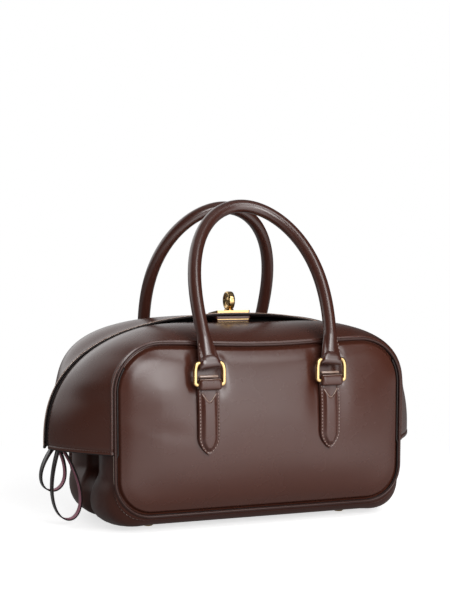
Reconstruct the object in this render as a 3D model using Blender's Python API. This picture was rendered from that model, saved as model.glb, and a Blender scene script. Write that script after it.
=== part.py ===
# A structured leather handbag, built as it would come apart on a bench.
# Metres, +Z up, front of the bag towards -Y, origin on the floor under its middle.
# Crowned front and rear panels with piping are joined by a gusset (base and pleated ends)
# and by two domed top panels that meet at the mouth and sweep past the ends as hoods.
from math import cos, pi, radians, sin, sqrt

import bmesh
import bpy
import numpy as np
from mathutils import Matrix, Vector

# Overall body
HALF_LENGTH = 0.1475      # centre line of the piping at the ends
HALF_DEPTH = 0.0760       # centre line of the piping, front and rear
PIPE_BOTTOM = 0.0165      # height of the piping's centre line along the base
PIPE_TOP = 0.1770         # the same along the top, at the shoulders
TOP_CORNER = 0.0440       # radius of the panel's top corners
BASE_CORNER = 0.0360      # radius of the panel's base corners
TOP_SAG = 0.0035          # how far the top edge dips between the handles
SAG_HALF_SPAN = 0.1050
CROWN = 0.0150            # how far the padded panels swell past their edges
CROWN_POWER_X = 2.8
CROWN_POWER_Z = 2.4

# Leather, piping and gaps
LEATHER = 0.0024
PIPE_RADIUS = 0.0023
GAP = 0.0003
CUT_REACH = 0.0020        # how far a cutting shape runs past the faces it cuts

# Top panels, mouth and hoods
HEM_HEIGHT = 0.0760       # lower edge of the hoods
HOOD_REACH = 0.0449       # how far the ridge runs out past the piping at the hem
RIDGE_HALF_LENGTH = HALF_LENGTH + HOOD_REACH
RIDGE_RISE = 0.0195       # how far the ridge stands above the piping
RIDGE_TOP = PIPE_TOP + RIDGE_RISE
RIDGE_POWER = 2.55
TOP_PANEL_POWER = 2.0     # fullness of the panel between the ridge and the piping
FRONT_SWELL = 0.0056
REAR_SWELL = 0.0080
HOOD_POWER = 1.43         # the same fullness for the hoods, which are stretched flatter
HOOD_SWELL = 0.0008
HOOD_FLAT_BELOW = 0.1230  # the hood's shape holds where the ridge is below this height
HOOD_FULL_ABOVE = 0.1700  # the top's shape holds where the ridge is above this height
MOUTH_HALF_SPAN = 0.1100  # the lips part between these two places
LIP_GAP = 0.0016
FRONT_LIP_DROP = 0.0050
FRONT_LIP_BACK = 0.0047
REAR_LIP_LIFT = 0.0020
REAR_LIP_FORWARD = 0.0023
LOCK_FLAT_SHARE = 0.7     # share of the swell that is pressed flat round the lock

# Gusset
GUSSET_TOP_TURN = 32.0    # degrees round the top corner where the end gusset stops
BASE_BELLY = 0.0117       # how far the base hangs below the piping
END_LOBE = 0.0050
CORNER_LOBE = 0.0120      # how far the base's corners stand past their rounding
CORNER_LOBE_POWER = 1.5
CORNER_PLEAT = 0.4        # share of the corner's lobe that is left in the pleat
PLEAT_DEPTH = 0.0260
PLEAT_HALF_SHARE = 0.25   # half width of the pleat's mouth, as a share of the half depth
PLEAT_FOOT = 0.0200
PLEAT_RUN = 0.0340

# Base board and feet
BOARD_END_INSET = 0.0395
BOARD_SIDE_INSET = 0.0240
BOARD_HALF_LENGTH = HALF_LENGTH - BOARD_END_INSET
BOARD_HALF_WIDTH = HALF_DEPTH - BOARD_SIDE_INSET
BOARD_THICKNESS = 0.0025
BOARD_CORNER = 0.0120
FOOT_EDGE_INSET = 0.0060  # from the board's ends to the middle of a foot
FOOT_SIDE_INSET = 0.0190
FOOT_X = BOARD_HALF_LENGTH - FOOT_EDGE_INSET
FOOT_Y = BOARD_HALF_WIDTH - FOOT_SIDE_INSET
FOOT_RADIUS = 0.0055
FOOT_FLAT = 0.0036
PIN_RADIUS = 0.0016
PIN_HEAD_RADIUS = 0.0034
PIN_HEAD = 0.0009

# Rings, chapes and handles
RING_X = 0.0622
RING_LOWER_BAR = 0.1394
RING_HEIGHT = 0.0198      # between the centre lines of its two bars
RING_HALF_WIDTH = 0.0142
RING_CORNER = 0.0024      # its lower corners are tight
RING_SHOULDER = 0.0033    # its upper corners are elliptical, this far in
RING_SHOULDER_FALL = 0.0075   # and this far down
RING_STEPS = 3
WIRE_RADIUS = 0.0022
STRAP = 0.0025
CHAPE_HALF_WIDTH = 0.0106
CHAPE_TIP = 0.0734
CHAPE_POINT = 0.0170
CHAPE_PAD = 0.0018
CHAPE_NOTCH = 0.1220
CHAPE_NOTCH_FALL = 0.0025 # the pad drops to the strap's thickness over this height
CHAPE_ARCH = 0.75         # roundness of the chape's arched point
CHAPE_END_SHARE = 0.06    # half width at the very tip, as a share
PAD_HALF_SHARE = 0.5      # half width of the padding, as a share
PAD_FOOT_SHARE = 0.3
PAD_CREST = 1.25          # the padding's middle is this much higher than its sides
HANDLE_RADIUS = 0.00625
HANDLE_RISE = 0.1460
HANDLE_BULGE = 0.0055
HANDLE_POWER = 3.7
HANDLE_LEAN = 0.31
HANDLE_BOW = 0.18
TAB_HALF_WIDTH = 0.0105
TAB_TOP = 0.0050
FLARE_TOP = 0.0290
TAB_SQUARENESS = 3.0      # 0 is a round section, more is flatter
TAB_FOOT_SHARES = (0.97, 0.8, 0.5, 0.0)  # sections below the bar, as shares of the eye
FLARE_SHARES = (0.35, 0.7)              # sections between the tab and the roll

# Zip
ZIP_DROP = 0.0128
CHAIN_HALF_WIDTH = 0.0025
CHAIN_THICKNESS = 0.0022
FACING = 0.0009
FACING_FLAT_SHARE = 0.17  # where its level part ends, as a share from lip to piping
FACING_HIGH_SHARE = 0.30  # where it meets the underside of the top panel
FACING_LOCK_EXTRA = 0.19  # added to both where it passes under the lock
CHAIN_END = 0.1010        # height of the zip's lower end in the left hood
ROW_MERGE_SHARE = 0.6     # a row closer than this to the next one takes its place
SLIDER_HALF_WIDTH = 0.0050
SLIDER_LENGTH = 0.0150
SLIDER_PLATE = 0.0014
SLIDER_CLEARANCE = 0.0006
PULL_WIRE = 0.0010
PULL_RING_HALF_WIDTH = 0.0122
PULL_RING_HEIGHT = 0.0085
PULL_RING_TOP = 0.0900
LOOP_THICKNESS = 0.0014
LOOP_WIDTH = 0.0094
SHORT_LOOP_LENGTH = 0.0490
SHORT_LOOP_SPAN = 0.0250
SHORT_LOOP_TILT = 7.0
LONG_LOOP_LENGTH = 0.0765
LONG_LOOP_SPAN = 0.0290
LONG_LOOP_TILT = -7.0
PULL_RING_CORNER = 0.0025
LOOP_TAPER = 1.0          # how much the loops narrow towards the ring

# Turn lock
LOCK_Y = 0.0110
LOCK_HALF_LENGTH = 0.0180
LOCK_FRONT = -0.0010
LOCK_REAR = 0.0230
LOCK_PLATE = 0.0012
LOCK_CAP_FRONT = 0.0041
LOCK_CAP_REAR = 0.0008
SLOT_HALF_LENGTH = 0.0102
SLOT_HALF_WIDTH = 0.0033
TONGUE_HALF_WIDTH = 0.0190
TONGUE_FRONT = -0.0120
TONGUE_REAR = 0.0240
KNOB_RADIUS = 0.0093
KNOB_HALF_THICKNESS = 0.0033
KNOB_DISH = 0.0015
KNOB_DISH_RADIUS = 0.0070
KNOB_HUB_RADIUS = 0.0026
KNOB_NECK_RADIUS = 0.0026
KNOB_FOOT_RADIUS = 0.0048
KNOB_FOOT_HEIGHT = 0.0012
STEM_RADIUS = 0.0015
STEM_HEAD_RADIUS = 0.0028
PLATE_CORNER = 0.0015
TONGUE_CORNER = 0.0030
CAP_BEVEL = 0.0006
CAP_SIDE_SHARE = 0.8      # share of the cap's depth below its bevel
KNOB_BEVEL = 0.0007
HUB_BEVEL = 0.0008
LOCK_CLEAR = 0.0120       # the rear panel is kept flat this far past the lock's ends

# How finely the shapes are cut
SIDE_STEPS = 4
CORNER_STEPS = 5
LONG_STEPS = 8
PANEL_RINGS = 4
ARCH_SIDE_STEPS = 4
ARCH_CORNER_STEPS = 6
ARCH_TOP_STEPS = 12
TOP_PANEL_STEPS = 6
TOP_PANEL_CROWDING = 0.85 # below 1 the rows lie closer together towards the piping
GUSSET_TOP_STEPS = 3
GUSSET_SIDE_STEPS = 4
TUBE_SIDES = 8
PIPING_SIDES = 6
HANDLE_SIDES = 10
HANDLE_STEPS = 24
BORE_SIDES = 12
EYE_SIDES = 12
FOOT_SIDES = 10
KNOB_SIDES = 18
STEM_SIDES = 12
LOOP_STEPS = 28
HOLLOW_STEPS = 24

FRONT = -1
REAR = 1
LEFT = -1
RIGHT = 1
SIDE_NAMES = {FRONT: "front", REAR: "rear"}
HAND_NAMES = {LEFT: "left", RIGHT: "right"}
UPRIGHT = Matrix.Identity(3)

MID_HEIGHT = (PIPE_BOTTOM + PIPE_TOP) / 2
HALF_HEIGHT = (PIPE_TOP - PIPE_BOTTOM) / 2

MATERIALS = {
    "brown_leather": ((0.060, 0.030, 0.024, 1), 0.32, 0.0),
    "piping_leather": ((0.045, 0.020, 0.016, 1), 0.35, 0.0),
    "handle_leather": ((0.055, 0.026, 0.020, 1), 0.28, 0.0),
    "pull_leather": ((0.020, 0.014, 0.013, 1), 0.40, 0.0),
    "brass": ((0.690, 0.470, 0.170, 1), 0.22, 1.0),
    "dark_fabric": ((0.012, 0.010, 0.010, 1), 0.85, 0.0),
    "board": ((0.080, 0.060, 0.045, 1), 0.80, 0.0),
}


# Scene and mesh helpers

def clear_scene():
    for obj in list(bpy.data.objects):
        bpy.data.objects.remove(obj, do_unlink=True)


def material(kind, name):
    colour, roughness, metallic = MATERIALS[kind]
    result = bpy.data.materials.new(name)
    result.use_nodes = True
    shader = result.node_tree.nodes["Principled BSDF"]
    shader.inputs["Base Color"].default_value = colour
    shader.inputs["Roughness"].default_value = roughness
    shader.inputs["Metallic"].default_value = metallic
    return result


def mesh_object(name, points, faces, kind=None, sharp=40.0):
    mesh = bpy.data.meshes.new(name)
    mesh.from_pydata([tuple(p) for p in points], [], faces)
    build = bmesh.new()
    build.from_mesh(mesh)
    bmesh.ops.recalc_face_normals(build, faces=build.faces)
    build.to_mesh(mesh)
    build.free()
    mesh.shade_smooth()
    mesh.set_sharp_from_angle(angle=radians(sharp))
    obj = bpy.data.objects.new(name, mesh)
    bpy.context.scene.collection.objects.link(obj)
    if kind:
        mesh.materials.append(material(kind, name))
    return obj


def tool(name, points, faces):
    """A shape that is only there to be joined to or cut from another one."""
    obj = mesh_object(name, points, faces)
    obj.hide_render = True
    obj.display_type = "WIRE"
    return obj


def combine(target, other, operation):
    change = target.modifiers.new(operation.lower() + "_" + other.name, "BOOLEAN")
    change.operation = operation
    change.solver = "EXACT"
    change.object = other


def set_origin(obj, point):
    """Puts the object's origin on its joint's axis without moving the shape."""
    obj.data.transform(Matrix.Translation(-Vector(point)))
    obj.location = point


def attach(child, parent):
    child.location = Vector(child.location) - Vector(parent.location)
    child.parent = parent


def smooth_step(value):
    value = min(1.0, max(0.0, value))
    return value * value * (3 - 2 * value)


def grid_faces(rows, columns, start, wrap):
    """Quads between neighbouring rows of points; wrap closes each row on itself."""
    faces = []
    steps = columns if wrap else columns - 1
    for row in range(rows - 1):
        for column in range(steps):
            after = (column + 1) % columns
            low = start + row * columns
            high = low + columns
            faces.append((low + column, low + after, high + after, high + column))
    return faces


def grid_normals(grid):
    grid = np.asarray(grid)
    along = np.gradient(grid, axis=0)
    across = np.gradient(grid, axis=1)
    normal = np.cross(along, across)
    return normal / np.linalg.norm(normal, axis=2, keepdims=True)


def sheet(name, grid, thickness, kind, turn=1.0):
    """A sheet of even thickness whose outer face is the grid of points."""
    outer = np.asarray(grid)
    return shell(name, outer, outer - turn * thickness * grid_normals(outer), kind)


def shell(name, outer, inner, kind):
    """The solid between two grids of points that match each other."""
    outer = np.asarray(outer)
    inner = np.asarray(inner)
    rows, columns = outer.shape[:2]
    count = rows * columns
    points = list(outer.reshape(-1, 3)) + list(inner.reshape(-1, 3))
    faces = grid_faces(rows, columns, 0, False) + grid_faces(rows, columns, count, False)
    rim = [r * columns for r in range(rows)]
    rim += [(rows - 1) * columns + c for c in range(1, columns)]
    rim += [r * columns + columns - 1 for r in range(rows - 2, -1, -1)]
    rim += [c for c in range(columns - 2, 0, -1)]
    for here, after in zip(rim, rim[1:] + rim[:1]):
        faces.append((here, after, after + count, here + count))
    return mesh_object(name, points, faces, kind)


def lofted(sections):
    """Points and faces through closed sections of equal count, capped at both ends."""
    columns = len(sections[0])
    points = [p for section in sections for p in section]
    faces = grid_faces(len(sections), columns, 0, True)
    last = (len(sections) - 1) * columns
    faces.append(tuple(range(columns)))
    faces.append(tuple(range(last, last + columns)))
    return points, faces


def loft(name, sections, kind):
    points, faces = lofted(sections)
    return mesh_object(name, points, faces, kind)


def loft_tool(name, sections):
    points, faces = lofted(sections)
    return tool(name, points, faces)


def closed_tube(name, path, side_axis, radius, kind, sides=TUBE_SIDES):
    """A round tube along a closed path; side_axis is square to the path everywhere."""
    path = np.asarray(path)
    along = np.roll(path, -1, axis=0) - np.roll(path, 1, axis=0)
    along /= np.linalg.norm(along, axis=1, keepdims=True)
    side = np.asarray(side_axis, dtype=float)
    points = []
    for centre, tangent in zip(path, along):
        flat = side - tangent * np.dot(side, tangent)
        flat /= np.linalg.norm(flat)
        up = np.cross(tangent, flat)
        for k in range(sides):
            angle = 2 * pi * (k + 0.5) / sides
            points.append(centre + radius * (cos(angle) * flat + sin(angle) * up))
    count = len(path)
    faces = grid_faces(count, sides, 0, True)
    low = (count - 1) * sides
    for k in range(sides):
        after = (k + 1) % sides
        faces.append((low + k, low + after, after, k))
    return mesh_object(name, points, faces, kind, 60.0)


def cylinder_sections(start, end, radius, sides):
    start = Vector(start)
    end = Vector(end)
    turn = (end - start).to_track_quat("Z", "Y")
    rounds = [2 * pi * k / sides for k in range(sides)]
    ring = [turn @ Vector((radius * cos(a), radius * sin(a), 0)) for a in rounds]
    return [[start + p for p in ring], [end + p for p in ring]]


def turned(profile, place, turn, sides):
    """Points and faces of a profile of (radius, height) turned about its height axis."""
    sections = []
    for radius, height in profile:
        section = []
        for k in range(sides):
            angle = 2 * pi * k / sides
            point = Vector((radius * cos(angle), radius * sin(angle), height))
            section.append(Vector(place) + turn @ point)
        sections.append(section)
    return lofted(sections)


def prism_sections(outline, low, high, axis):
    """The outline at two depths along X, Y or Z, as sections for a loft."""
    places = {
        "X": lambda a, b, d: Vector((d, a, b)),
        "Y": lambda a, b, d: Vector((a, d, b)),
        "Z": lambda a, b, d: Vector((a, b, d)),
    }
    place = places[axis]
    return [[place(a, b, low) for a, b in outline], [place(a, b, high) for a, b in outline]]


def rounded_outline(half_a, half_b, corner, steps=4, centre=(0.0, 0.0)):
    points = []
    for quarter, (sign_a, sign_b) in enumerate(((1, 1), (-1, 1), (-1, -1), (1, -1))):
        for k in range(steps + 1):
            angle = pi / 2 * (quarter + k / steps)
            a = sign_a * (half_a - corner) + corner * cos(angle)
            b = sign_b * (half_b - corner) + corner * sin(angle)
            points.append((centre[0] + a, centre[1] + b))
    return points


# Outline of the panels, shared by everything sewn to them

def corner_points(hand, top, steps):
    """Points and outward directions round one corner, from the side towards the middle."""
    radius = TOP_CORNER if top else BASE_CORNER
    height = PIPE_TOP - radius if top else PIPE_BOTTOM + radius
    vertical = 1 if top else -1
    result = []
    for k in range(steps + 1):
        angle = pi / 2 * k / steps
        out_x = hand * cos(angle)
        out_z = vertical * sin(angle)
        x = hand * (HALF_LENGTH - radius) + radius * out_x
        result.append((x, height + radius * out_z, out_x, out_z))
    return result


def straight(start, end, steps):
    """Points strictly between two outline points, with the first one's direction."""
    result = []
    for k in range(1, steps):
        share = k / steps
        x = start[0] + share * (end[0] - start[0])
        z = start[1] + share * (end[1] - start[1])
        result.append((x, z, start[2], start[3]))
    return result


def whole_outline():
    top_left = corner_points(LEFT, True, CORNER_STEPS)
    top_right = corner_points(RIGHT, True, CORNER_STEPS)[::-1]
    base_right = corner_points(RIGHT, False, CORNER_STEPS)
    base_left = corner_points(LEFT, False, CORNER_STEPS)[::-1]
    points = top_left + straight(top_left[-1], top_right[0], LONG_STEPS) + top_right
    points += straight(top_right[-1], base_right[0], SIDE_STEPS) + base_right
    points += straight(base_right[-1], base_left[0], LONG_STEPS) + base_left
    points += straight(base_left[-1], top_left[0], SIDE_STEPS)
    return [sagged(p) for p in points]


def sagged(point):
    """Lets the top edge dip a little between the handles."""
    x, z, out_x, out_z = point
    share = max(0.0, 1 - (x / SAG_HALF_SPAN) ** 2) ** 2
    lift = max(0.0, (z - MID_HEIGHT) / HALF_HEIGHT)
    return (x, z - TOP_SAG * share * lift, out_x, out_z)


def hood_outline():
    """The part of the outline that the top panels are sewn to, from hem to hem."""
    top_left = corner_points(LEFT, True, ARCH_CORNER_STEPS)
    top_right = corner_points(RIGHT, True, ARCH_CORNER_STEPS)[::-1]
    hem_left = (-HALF_LENGTH, HEM_HEIGHT, -1.0, 0.0)
    hem_right = (HALF_LENGTH, HEM_HEIGHT, 1.0, 0.0)
    points = [hem_left] + straight(hem_left, top_left[0], ARCH_SIDE_STEPS) + top_left
    points += straight(top_left[-1], top_right[0], ARCH_TOP_STEPS) + top_right
    points += straight(top_right[-1], hem_right, ARCH_SIDE_STEPS) + [hem_right]
    return [sagged(p) for p in points]


def panel_swell(x, z):
    """How far the crowned panel stands past the plane of its piping."""
    across = min(1.0, abs(x) / HALF_LENGTH) ** CROWN_POWER_X
    upright = min(1.0, abs(z - MID_HEIGHT) / HALF_HEIGHT) ** CROWN_POWER_Z
    return CROWN * (1 - across) * (1 - upright)


def panel_face(x, z):
    """Distance of a panel's outer face from the middle plane of the bag."""
    return HALF_DEPTH + LEATHER / 2 + panel_swell(x, z)


def seam_depth(x, z):
    """Where the sheets behind the piping end, measured from the middle plane."""
    return HALF_DEPTH + panel_swell(x, z) - PIPE_RADIUS - GAP


# Panels and piping

def panel_point(side, x, z, inward):
    step = 0.0005
    slope_x = (panel_swell(x + step, z) - panel_swell(x - step, z)) / (2 * step)
    slope_z = (panel_swell(x, z + step) - panel_swell(x, z - step)) / (2 * step)
    normal = Vector((-slope_x, 1.0, -slope_z)).normalized()
    place = Vector((x, panel_face(x, z), z)) - inward * normal
    return Vector((place.x, side * place.y, place.z))


def make_panel(side):
    inset = PIPE_RADIUS + GAP
    rim = [(x - inset * nx, z - inset * nz) for x, z, nx, nz in whole_outline()]
    shares = [sqrt(1 - k / PANEL_RINGS) for k in range(PANEL_RINGS)]
    layers = []
    for inward in (0.0, LEATHER):
        rows = []
        for share in shares:
            flat = [(share * x, MID_HEIGHT + share * (z - MID_HEIGHT)) for x, z in rim]
            rows.append([panel_point(side, x, z, inward) for x, z in flat])
        layers.append((rows, panel_point(side, 0.0, MID_HEIGHT, inward)))
    columns = len(rim)
    points = []
    faces = []
    for rows, middle in layers:
        start = len(points)
        points += [p for row in rows for p in row] + [middle]
        faces += grid_faces(len(rows), columns, start, True)
        last = start + (len(rows) - 1) * columns
        centre = last + columns
        for k in range(columns):
            faces.append((last + k, last + (k + 1) % columns, centre))
    second = PANEL_RINGS * columns + 1
    for k in range(columns):
        after = (k + 1) % columns
        faces.append((k, after, second + after, second + k))
    return mesh_object(SIDE_NAMES[side] + "_panel", points, faces, "brown_leather")


def make_piping(side):
    path = [(x, side * (HALF_DEPTH + panel_swell(x, z)), z) for x, z, _, _ in whole_outline()]
    name = SIDE_NAMES[side] + "_piping"
    return closed_tube(name, path, (0, 1, 0), PIPE_RADIUS, "piping_leather", PIPING_SIDES)


# Top panels

def ridge_points(count):
    """The arch where the two top panels meet, from one hood's tip to the other."""
    rise = RIDGE_TOP - HEM_HEIGHT
    points = []
    for k in range(count):
        angle = pi * (1 - k / (count - 1))
        side = 1 if cos(angle) >= 0 else -1
        x = RIDGE_HALF_LENGTH * side * abs(cos(angle)) ** (2 / RIDGE_POWER)
        z = HEM_HEIGHT + rise * abs(sin(angle)) ** (2 / RIDGE_POWER)
        points.append((x, z))
    return np.array(points)


def along_shares(points):
    steps = np.linalg.norm(np.diff(np.asarray(points), axis=0), axis=1)
    length = np.concatenate(([0.0], np.cumsum(steps)))
    return length / length[-1]


def matched_ridge():
    """One ridge point, with its outward direction, for each point of the hood outline."""
    outline = [(x, z) for x, z, _, _ in hood_outline()]
    ridge = ridge_points(721)
    shares = along_shares(ridge)
    wanted = along_shares(outline)
    x = np.interp(wanted, shares, ridge[:, 0])
    z = np.interp(wanted, shares, ridge[:, 1])
    run = np.gradient(np.stack([x, z], axis=1), axis=0)
    run /= np.linalg.norm(run, axis=1, keepdims=True)
    return [(x[k], z[k], -run[k, 1], run[k, 0]) for k in range(len(x))]


def mouth_share(x):
    return max(0.0, 1 - (x / MOUTH_HALF_SPAN) ** 2) ** 2


def lip_place(side, x, z):
    """Depth and height of a lip's edge over one point of the ridge."""
    share = mouth_share(x)
    if side == FRONT:
        return -LIP_GAP / 2 - FRONT_LIP_BACK * share, z - FRONT_LIP_DROP * share
    return LIP_GAP / 2 - REAR_LIP_FORWARD * share, z + REAR_LIP_LIFT * share


def hood_share(height):
    """0 for the top of the bag, 1 for the hoods, from the height of the ridge."""
    return smooth_step((HOOD_FULL_ABOVE - height) / (HOOD_FULL_ABOVE - HOOD_FLAT_BELOW))


def top_point(side, seam, ridge, share, inward=0.0):
    """A point of a top panel; share runs from the lip to the piping."""
    lip_y, lip_z = lip_place(side, ridge[0], ridge[1])
    seam_x = seam[0] + seam[2] * LEATHER / 2
    seam_z = seam[1] + seam[3] * LEATHER / 2
    seam_y = side * seam_depth(seam[0], seam[1])
    out = Vector((ridge[2] + seam[2], ridge[3] + seam[3])).normalized()
    hood = hood_share(ridge[1])
    full = FRONT_SWELL if side == FRONT else REAR_SWELL
    swell = full + (HOOD_SWELL - full) * hood
    swell *= 1 - LOCK_FLAT_SHARE * mouth_share(ridge[0])
    lift = swell * sin(pi * share) - inward
    fall = share ** (TOP_PANEL_POWER + (HOOD_POWER - TOP_PANEL_POWER) * hood)
    x = ridge[0] + (seam_x - ridge[0]) * fall + out.x * lift
    z = lip_z + (seam_z - lip_z) * fall + out.y * lift
    return Vector((x, lip_y + (seam_y - lip_y) * share, z))


def make_top_panel(side):
    steps = range(TOP_PANEL_STEPS + 1)
    shares = [(k / TOP_PANEL_STEPS) ** TOP_PANEL_CROWDING for k in steps]
    rows = zip(hood_outline(), matched_ridge())
    grid = [[top_point(side, seam, ridge, s) for s in shares] for seam, ridge in rows]
    turn = 1.0 if side == FRONT else -1.0
    name = SIDE_NAMES[side] + "_top_panel"
    return sheet(name, grid, LEATHER, "brown_leather", -turn)


# Gusset, base board and feet

def gusset_outline():
    turn = radians(GUSSET_TOP_TURN)
    ends = []
    for hand in (LEFT, RIGHT):
        run = []
        for k in range(GUSSET_TOP_STEPS, 0, -1):
            angle = turn * k / GUSSET_TOP_STEPS
            out_x = hand * cos(angle)
            x = hand * (HALF_LENGTH - TOP_CORNER) + TOP_CORNER * out_x
            run.append((x, PIPE_TOP - TOP_CORNER + TOP_CORNER * sin(angle), out_x, sin(angle)))
        side_top = (hand * HALF_LENGTH, PIPE_TOP - TOP_CORNER, hand, 0.0)
        corner = corner_points(hand, False, CORNER_STEPS)
        run += [side_top] + straight(side_top, corner[0], GUSSET_SIDE_STEPS) + corner
        ends.append(run)
    left, right = ends
    base = straight(left[-1], right[-1], LONG_STEPS - 2)
    return left + base + right[::-1]


def gusset_lift(x, z, out_z, share):
    """How far the gusset stands past the line of the piping, share being 0 at mid depth."""
    across = abs(share)
    base = BASE_BELLY * (1 - max(0.0, (across - 0.8) / 0.2) ** 2)
    if across > PLEAT_HALF_SHARE:
        end = END_LOBE * sin(pi * (across - PLEAT_HALF_SHARE) / (1 - PLEAT_HALF_SHARE))
    else:
        depth = PLEAT_DEPTH * smooth_step((z - PLEAT_FOOT) / PLEAT_RUN)
        end = -depth * (1 - across / PLEAT_HALF_SHARE) ** 0.8
    part = smooth_step(-out_z)
    round_corner = 2 * max(0.0, -out_z) * sqrt(max(0.0, 1 - out_z ** 2))
    in_pleat = CORNER_PLEAT + (1 - CORNER_PLEAT) * smooth_step(across / PLEAT_HALF_SHARE)
    lobe = CORNER_LOBE * round_corner ** CORNER_LOBE_POWER * in_pleat * (1 - across ** 4)
    return (1 - part) * end + part * base + lobe


def make_gusset():
    half = [0.12, PLEAT_HALF_SHARE, 0.42, 0.63, 0.84, 1.0]
    shares = [-s for s in half[::-1]] + [0.0] + half
    inset = LEATHER / 2 + GAP
    grid = []
    for x, z, out_x, out_z in gusset_outline():
        seam = seam_depth(x, z)
        row = []
        for share in shares:
            lift = gusset_lift(x, z, out_z, share) - inset
            row.append((x + out_x * lift, share * seam, z + out_z * lift))
        grid.append(row)
    return sheet("body_gusset", grid, LEATHER, "brown_leather", -1.0)


def base_height():
    """Height of the gusset's outer face along the middle of the base."""
    return PIPE_BOTTOM - BASE_BELLY + LEATHER / 2 + GAP


def make_board(low):
    outline = rounded_outline(BOARD_HALF_LENGTH, BOARD_HALF_WIDTH, BOARD_CORNER)
    sections = prism_sections(outline, low, low + BOARD_THICKNESS, "Z")
    return loft("base_board", sections, "board")


def make_foot(name, x, y, board_top):
    top = base_height() - GAP
    profile = [(FOOT_FLAT, 0.0), (FOOT_RADIUS * 0.86, top * 0.16), (FOOT_RADIUS, top * 0.5)]
    profile += [(FOOT_RADIUS, top), (PIN_RADIUS, top)]
    profile += [(PIN_RADIUS, board_top + GAP), (PIN_HEAD_RADIUS, board_top + GAP)]
    profile += [(PIN_HEAD_RADIUS * 0.8, board_top + GAP + PIN_HEAD)]
    points, faces = turned(profile, (x, y, 0.0), UPRIGHT, FOOT_SIDES)
    return mesh_object(name, points, faces, "brass")


# Rings, chapes and handles

def bar_depth():
    """Distance of the rings' bars from the middle plane of the bag."""
    return panel_face(RING_X, RING_LOWER_BAR) + 2 * GAP + eye_radius()


def eye_radius():
    return WIRE_RADIUS + GAP + STRAP


def ring_outline():
    """Centre line of the wire from its lower bar: tight corners below, long shoulders above."""
    half = []
    for k in range(RING_STEPS + 1):
        angle = pi / 2 * k / RING_STEPS
        a = RING_HALF_WIDTH - RING_CORNER + RING_CORNER * sin(angle)
        half.append((a, RING_CORNER * (1 - cos(angle))))
    for k in range(RING_STEPS + 1):
        angle = pi / 2 * k / RING_STEPS
        a = RING_HALF_WIDTH - RING_SHOULDER + RING_SHOULDER * cos(angle)
        half.append((a, RING_HEIGHT - RING_SHOULDER_FALL * (1 - sin(angle))))
    return half + [(-a, b) for a, b in half[::-1]]


def make_ring(side, hand):
    y = side * bar_depth()
    path = [(hand * RING_X + a, y, RING_LOWER_BAR + b) for a, b in ring_outline()]
    name = SIDE_NAMES[side] + "_" + HAND_NAMES[hand] + "_ring"
    ring = closed_tube(name, path, (0, 1, 0), WIRE_RADIUS, "brass")
    set_origin(ring, (hand * RING_X, y, RING_LOWER_BAR))
    return ring


def chape_width(z):
    """Half width of the chape, which ends in an arched point."""
    share = min(1.0, (z - CHAPE_TIP) / CHAPE_POINT)
    return CHAPE_HALF_WIDTH * max(CHAPE_END_SHARE, sin(pi / 2 * share) ** CHAPE_ARCH)


def make_chape(side, hand):
    top = RING_LOWER_BAR - WIRE_RADIUS
    heights = [CHAPE_TIP + CHAPE_POINT * s for s in (0.0, 0.1, 0.25, 0.45, 0.7, 1.0)]
    foot = CHAPE_TIP + CHAPE_POINT
    heights += [(foot + CHAPE_NOTCH) / 2, CHAPE_NOTCH, CHAPE_NOTCH + CHAPE_NOTCH_FALL]
    heights += [(CHAPE_NOTCH + top) / 2, top]
    shares = (-1.0, -0.78, -PAD_HALF_SHARE, 0.0, PAD_HALF_SHARE, 0.78, 1.0)
    pad_foot = CHAPE_TIP + PAD_FOOT_SHARE * CHAPE_POINT
    centre = hand * RING_X
    front = []
    back = []
    for z in heights:
        low = panel_face(centre, z) + GAP
        front_row = []
        back_row = []
        for share in shares:
            x = centre + share * chape_width(z)
            under = panel_face(x, z) + GAP
            pad = 0.0
            if abs(share) <= PAD_HALF_SHARE and pad_foot < z <= CHAPE_NOTCH:
                pad = CHAPE_PAD * (PAD_CREST if share == 0.0 else 1.0)
            thick = max(low - under, 0.0) + LEATHER + pad
            back_row.append(Vector((x, side * under, z)))
            front_row.append(Vector((x, side * (under + thick), z)))
        front.append(front_row)
        back.append(back_row)
    name = SIDE_NAMES[side] + "_" + HAND_NAMES[hand] + "_chape"
    chape = shell(name, front, back, "brown_leather")
    y = side * bar_depth()
    eye_start = (centre - CHAPE_HALF_WIDTH, y, RING_LOWER_BAR)
    eye_end = (centre + CHAPE_HALF_WIDTH, y, RING_LOWER_BAR)
    eye = cylinder_sections(eye_start, eye_end, eye_radius(), EYE_SIDES)
    combine(chape, loft_tool(name + "_eye", eye), "UNION")
    cut_bar(chape, hand, y, RING_LOWER_BAR)


def cut_bar(obj, hand, y, z):
    """Bores the way for a ring's bar, with the running gap round it."""
    start = (hand * RING_X - RING_HALF_WIDTH, y, z)
    end = (hand * RING_X + RING_HALF_WIDTH, y, z)
    sections = cylinder_sections(start, end, WIRE_RADIUS + GAP, BORE_SIDES)
    name = obj.name + "_" + HAND_NAMES[hand] + "_bore"
    combine(obj, loft_tool(name, sections), "DIFFERENCE")


def handle_centre(side, rise):
    """A point of the handle's left centre line at this rise above the ring's upper bar."""
    share = min(1.0, max(0.0, rise / HANDLE_RISE))
    narrow = sqrt(max(0.0, 1 - share ** HANDLE_POWER))
    x = RING_X * narrow + HANDLE_BULGE * sin(pi * share)
    inward = HANDLE_LEAN * rise + HANDLE_BOW * HANDLE_RISE * share ** 2
    upper_bar = RING_LOWER_BAR + RING_HEIGHT
    return Vector((-x, side * (bar_depth() - inward), upper_bar + rise))


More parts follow.
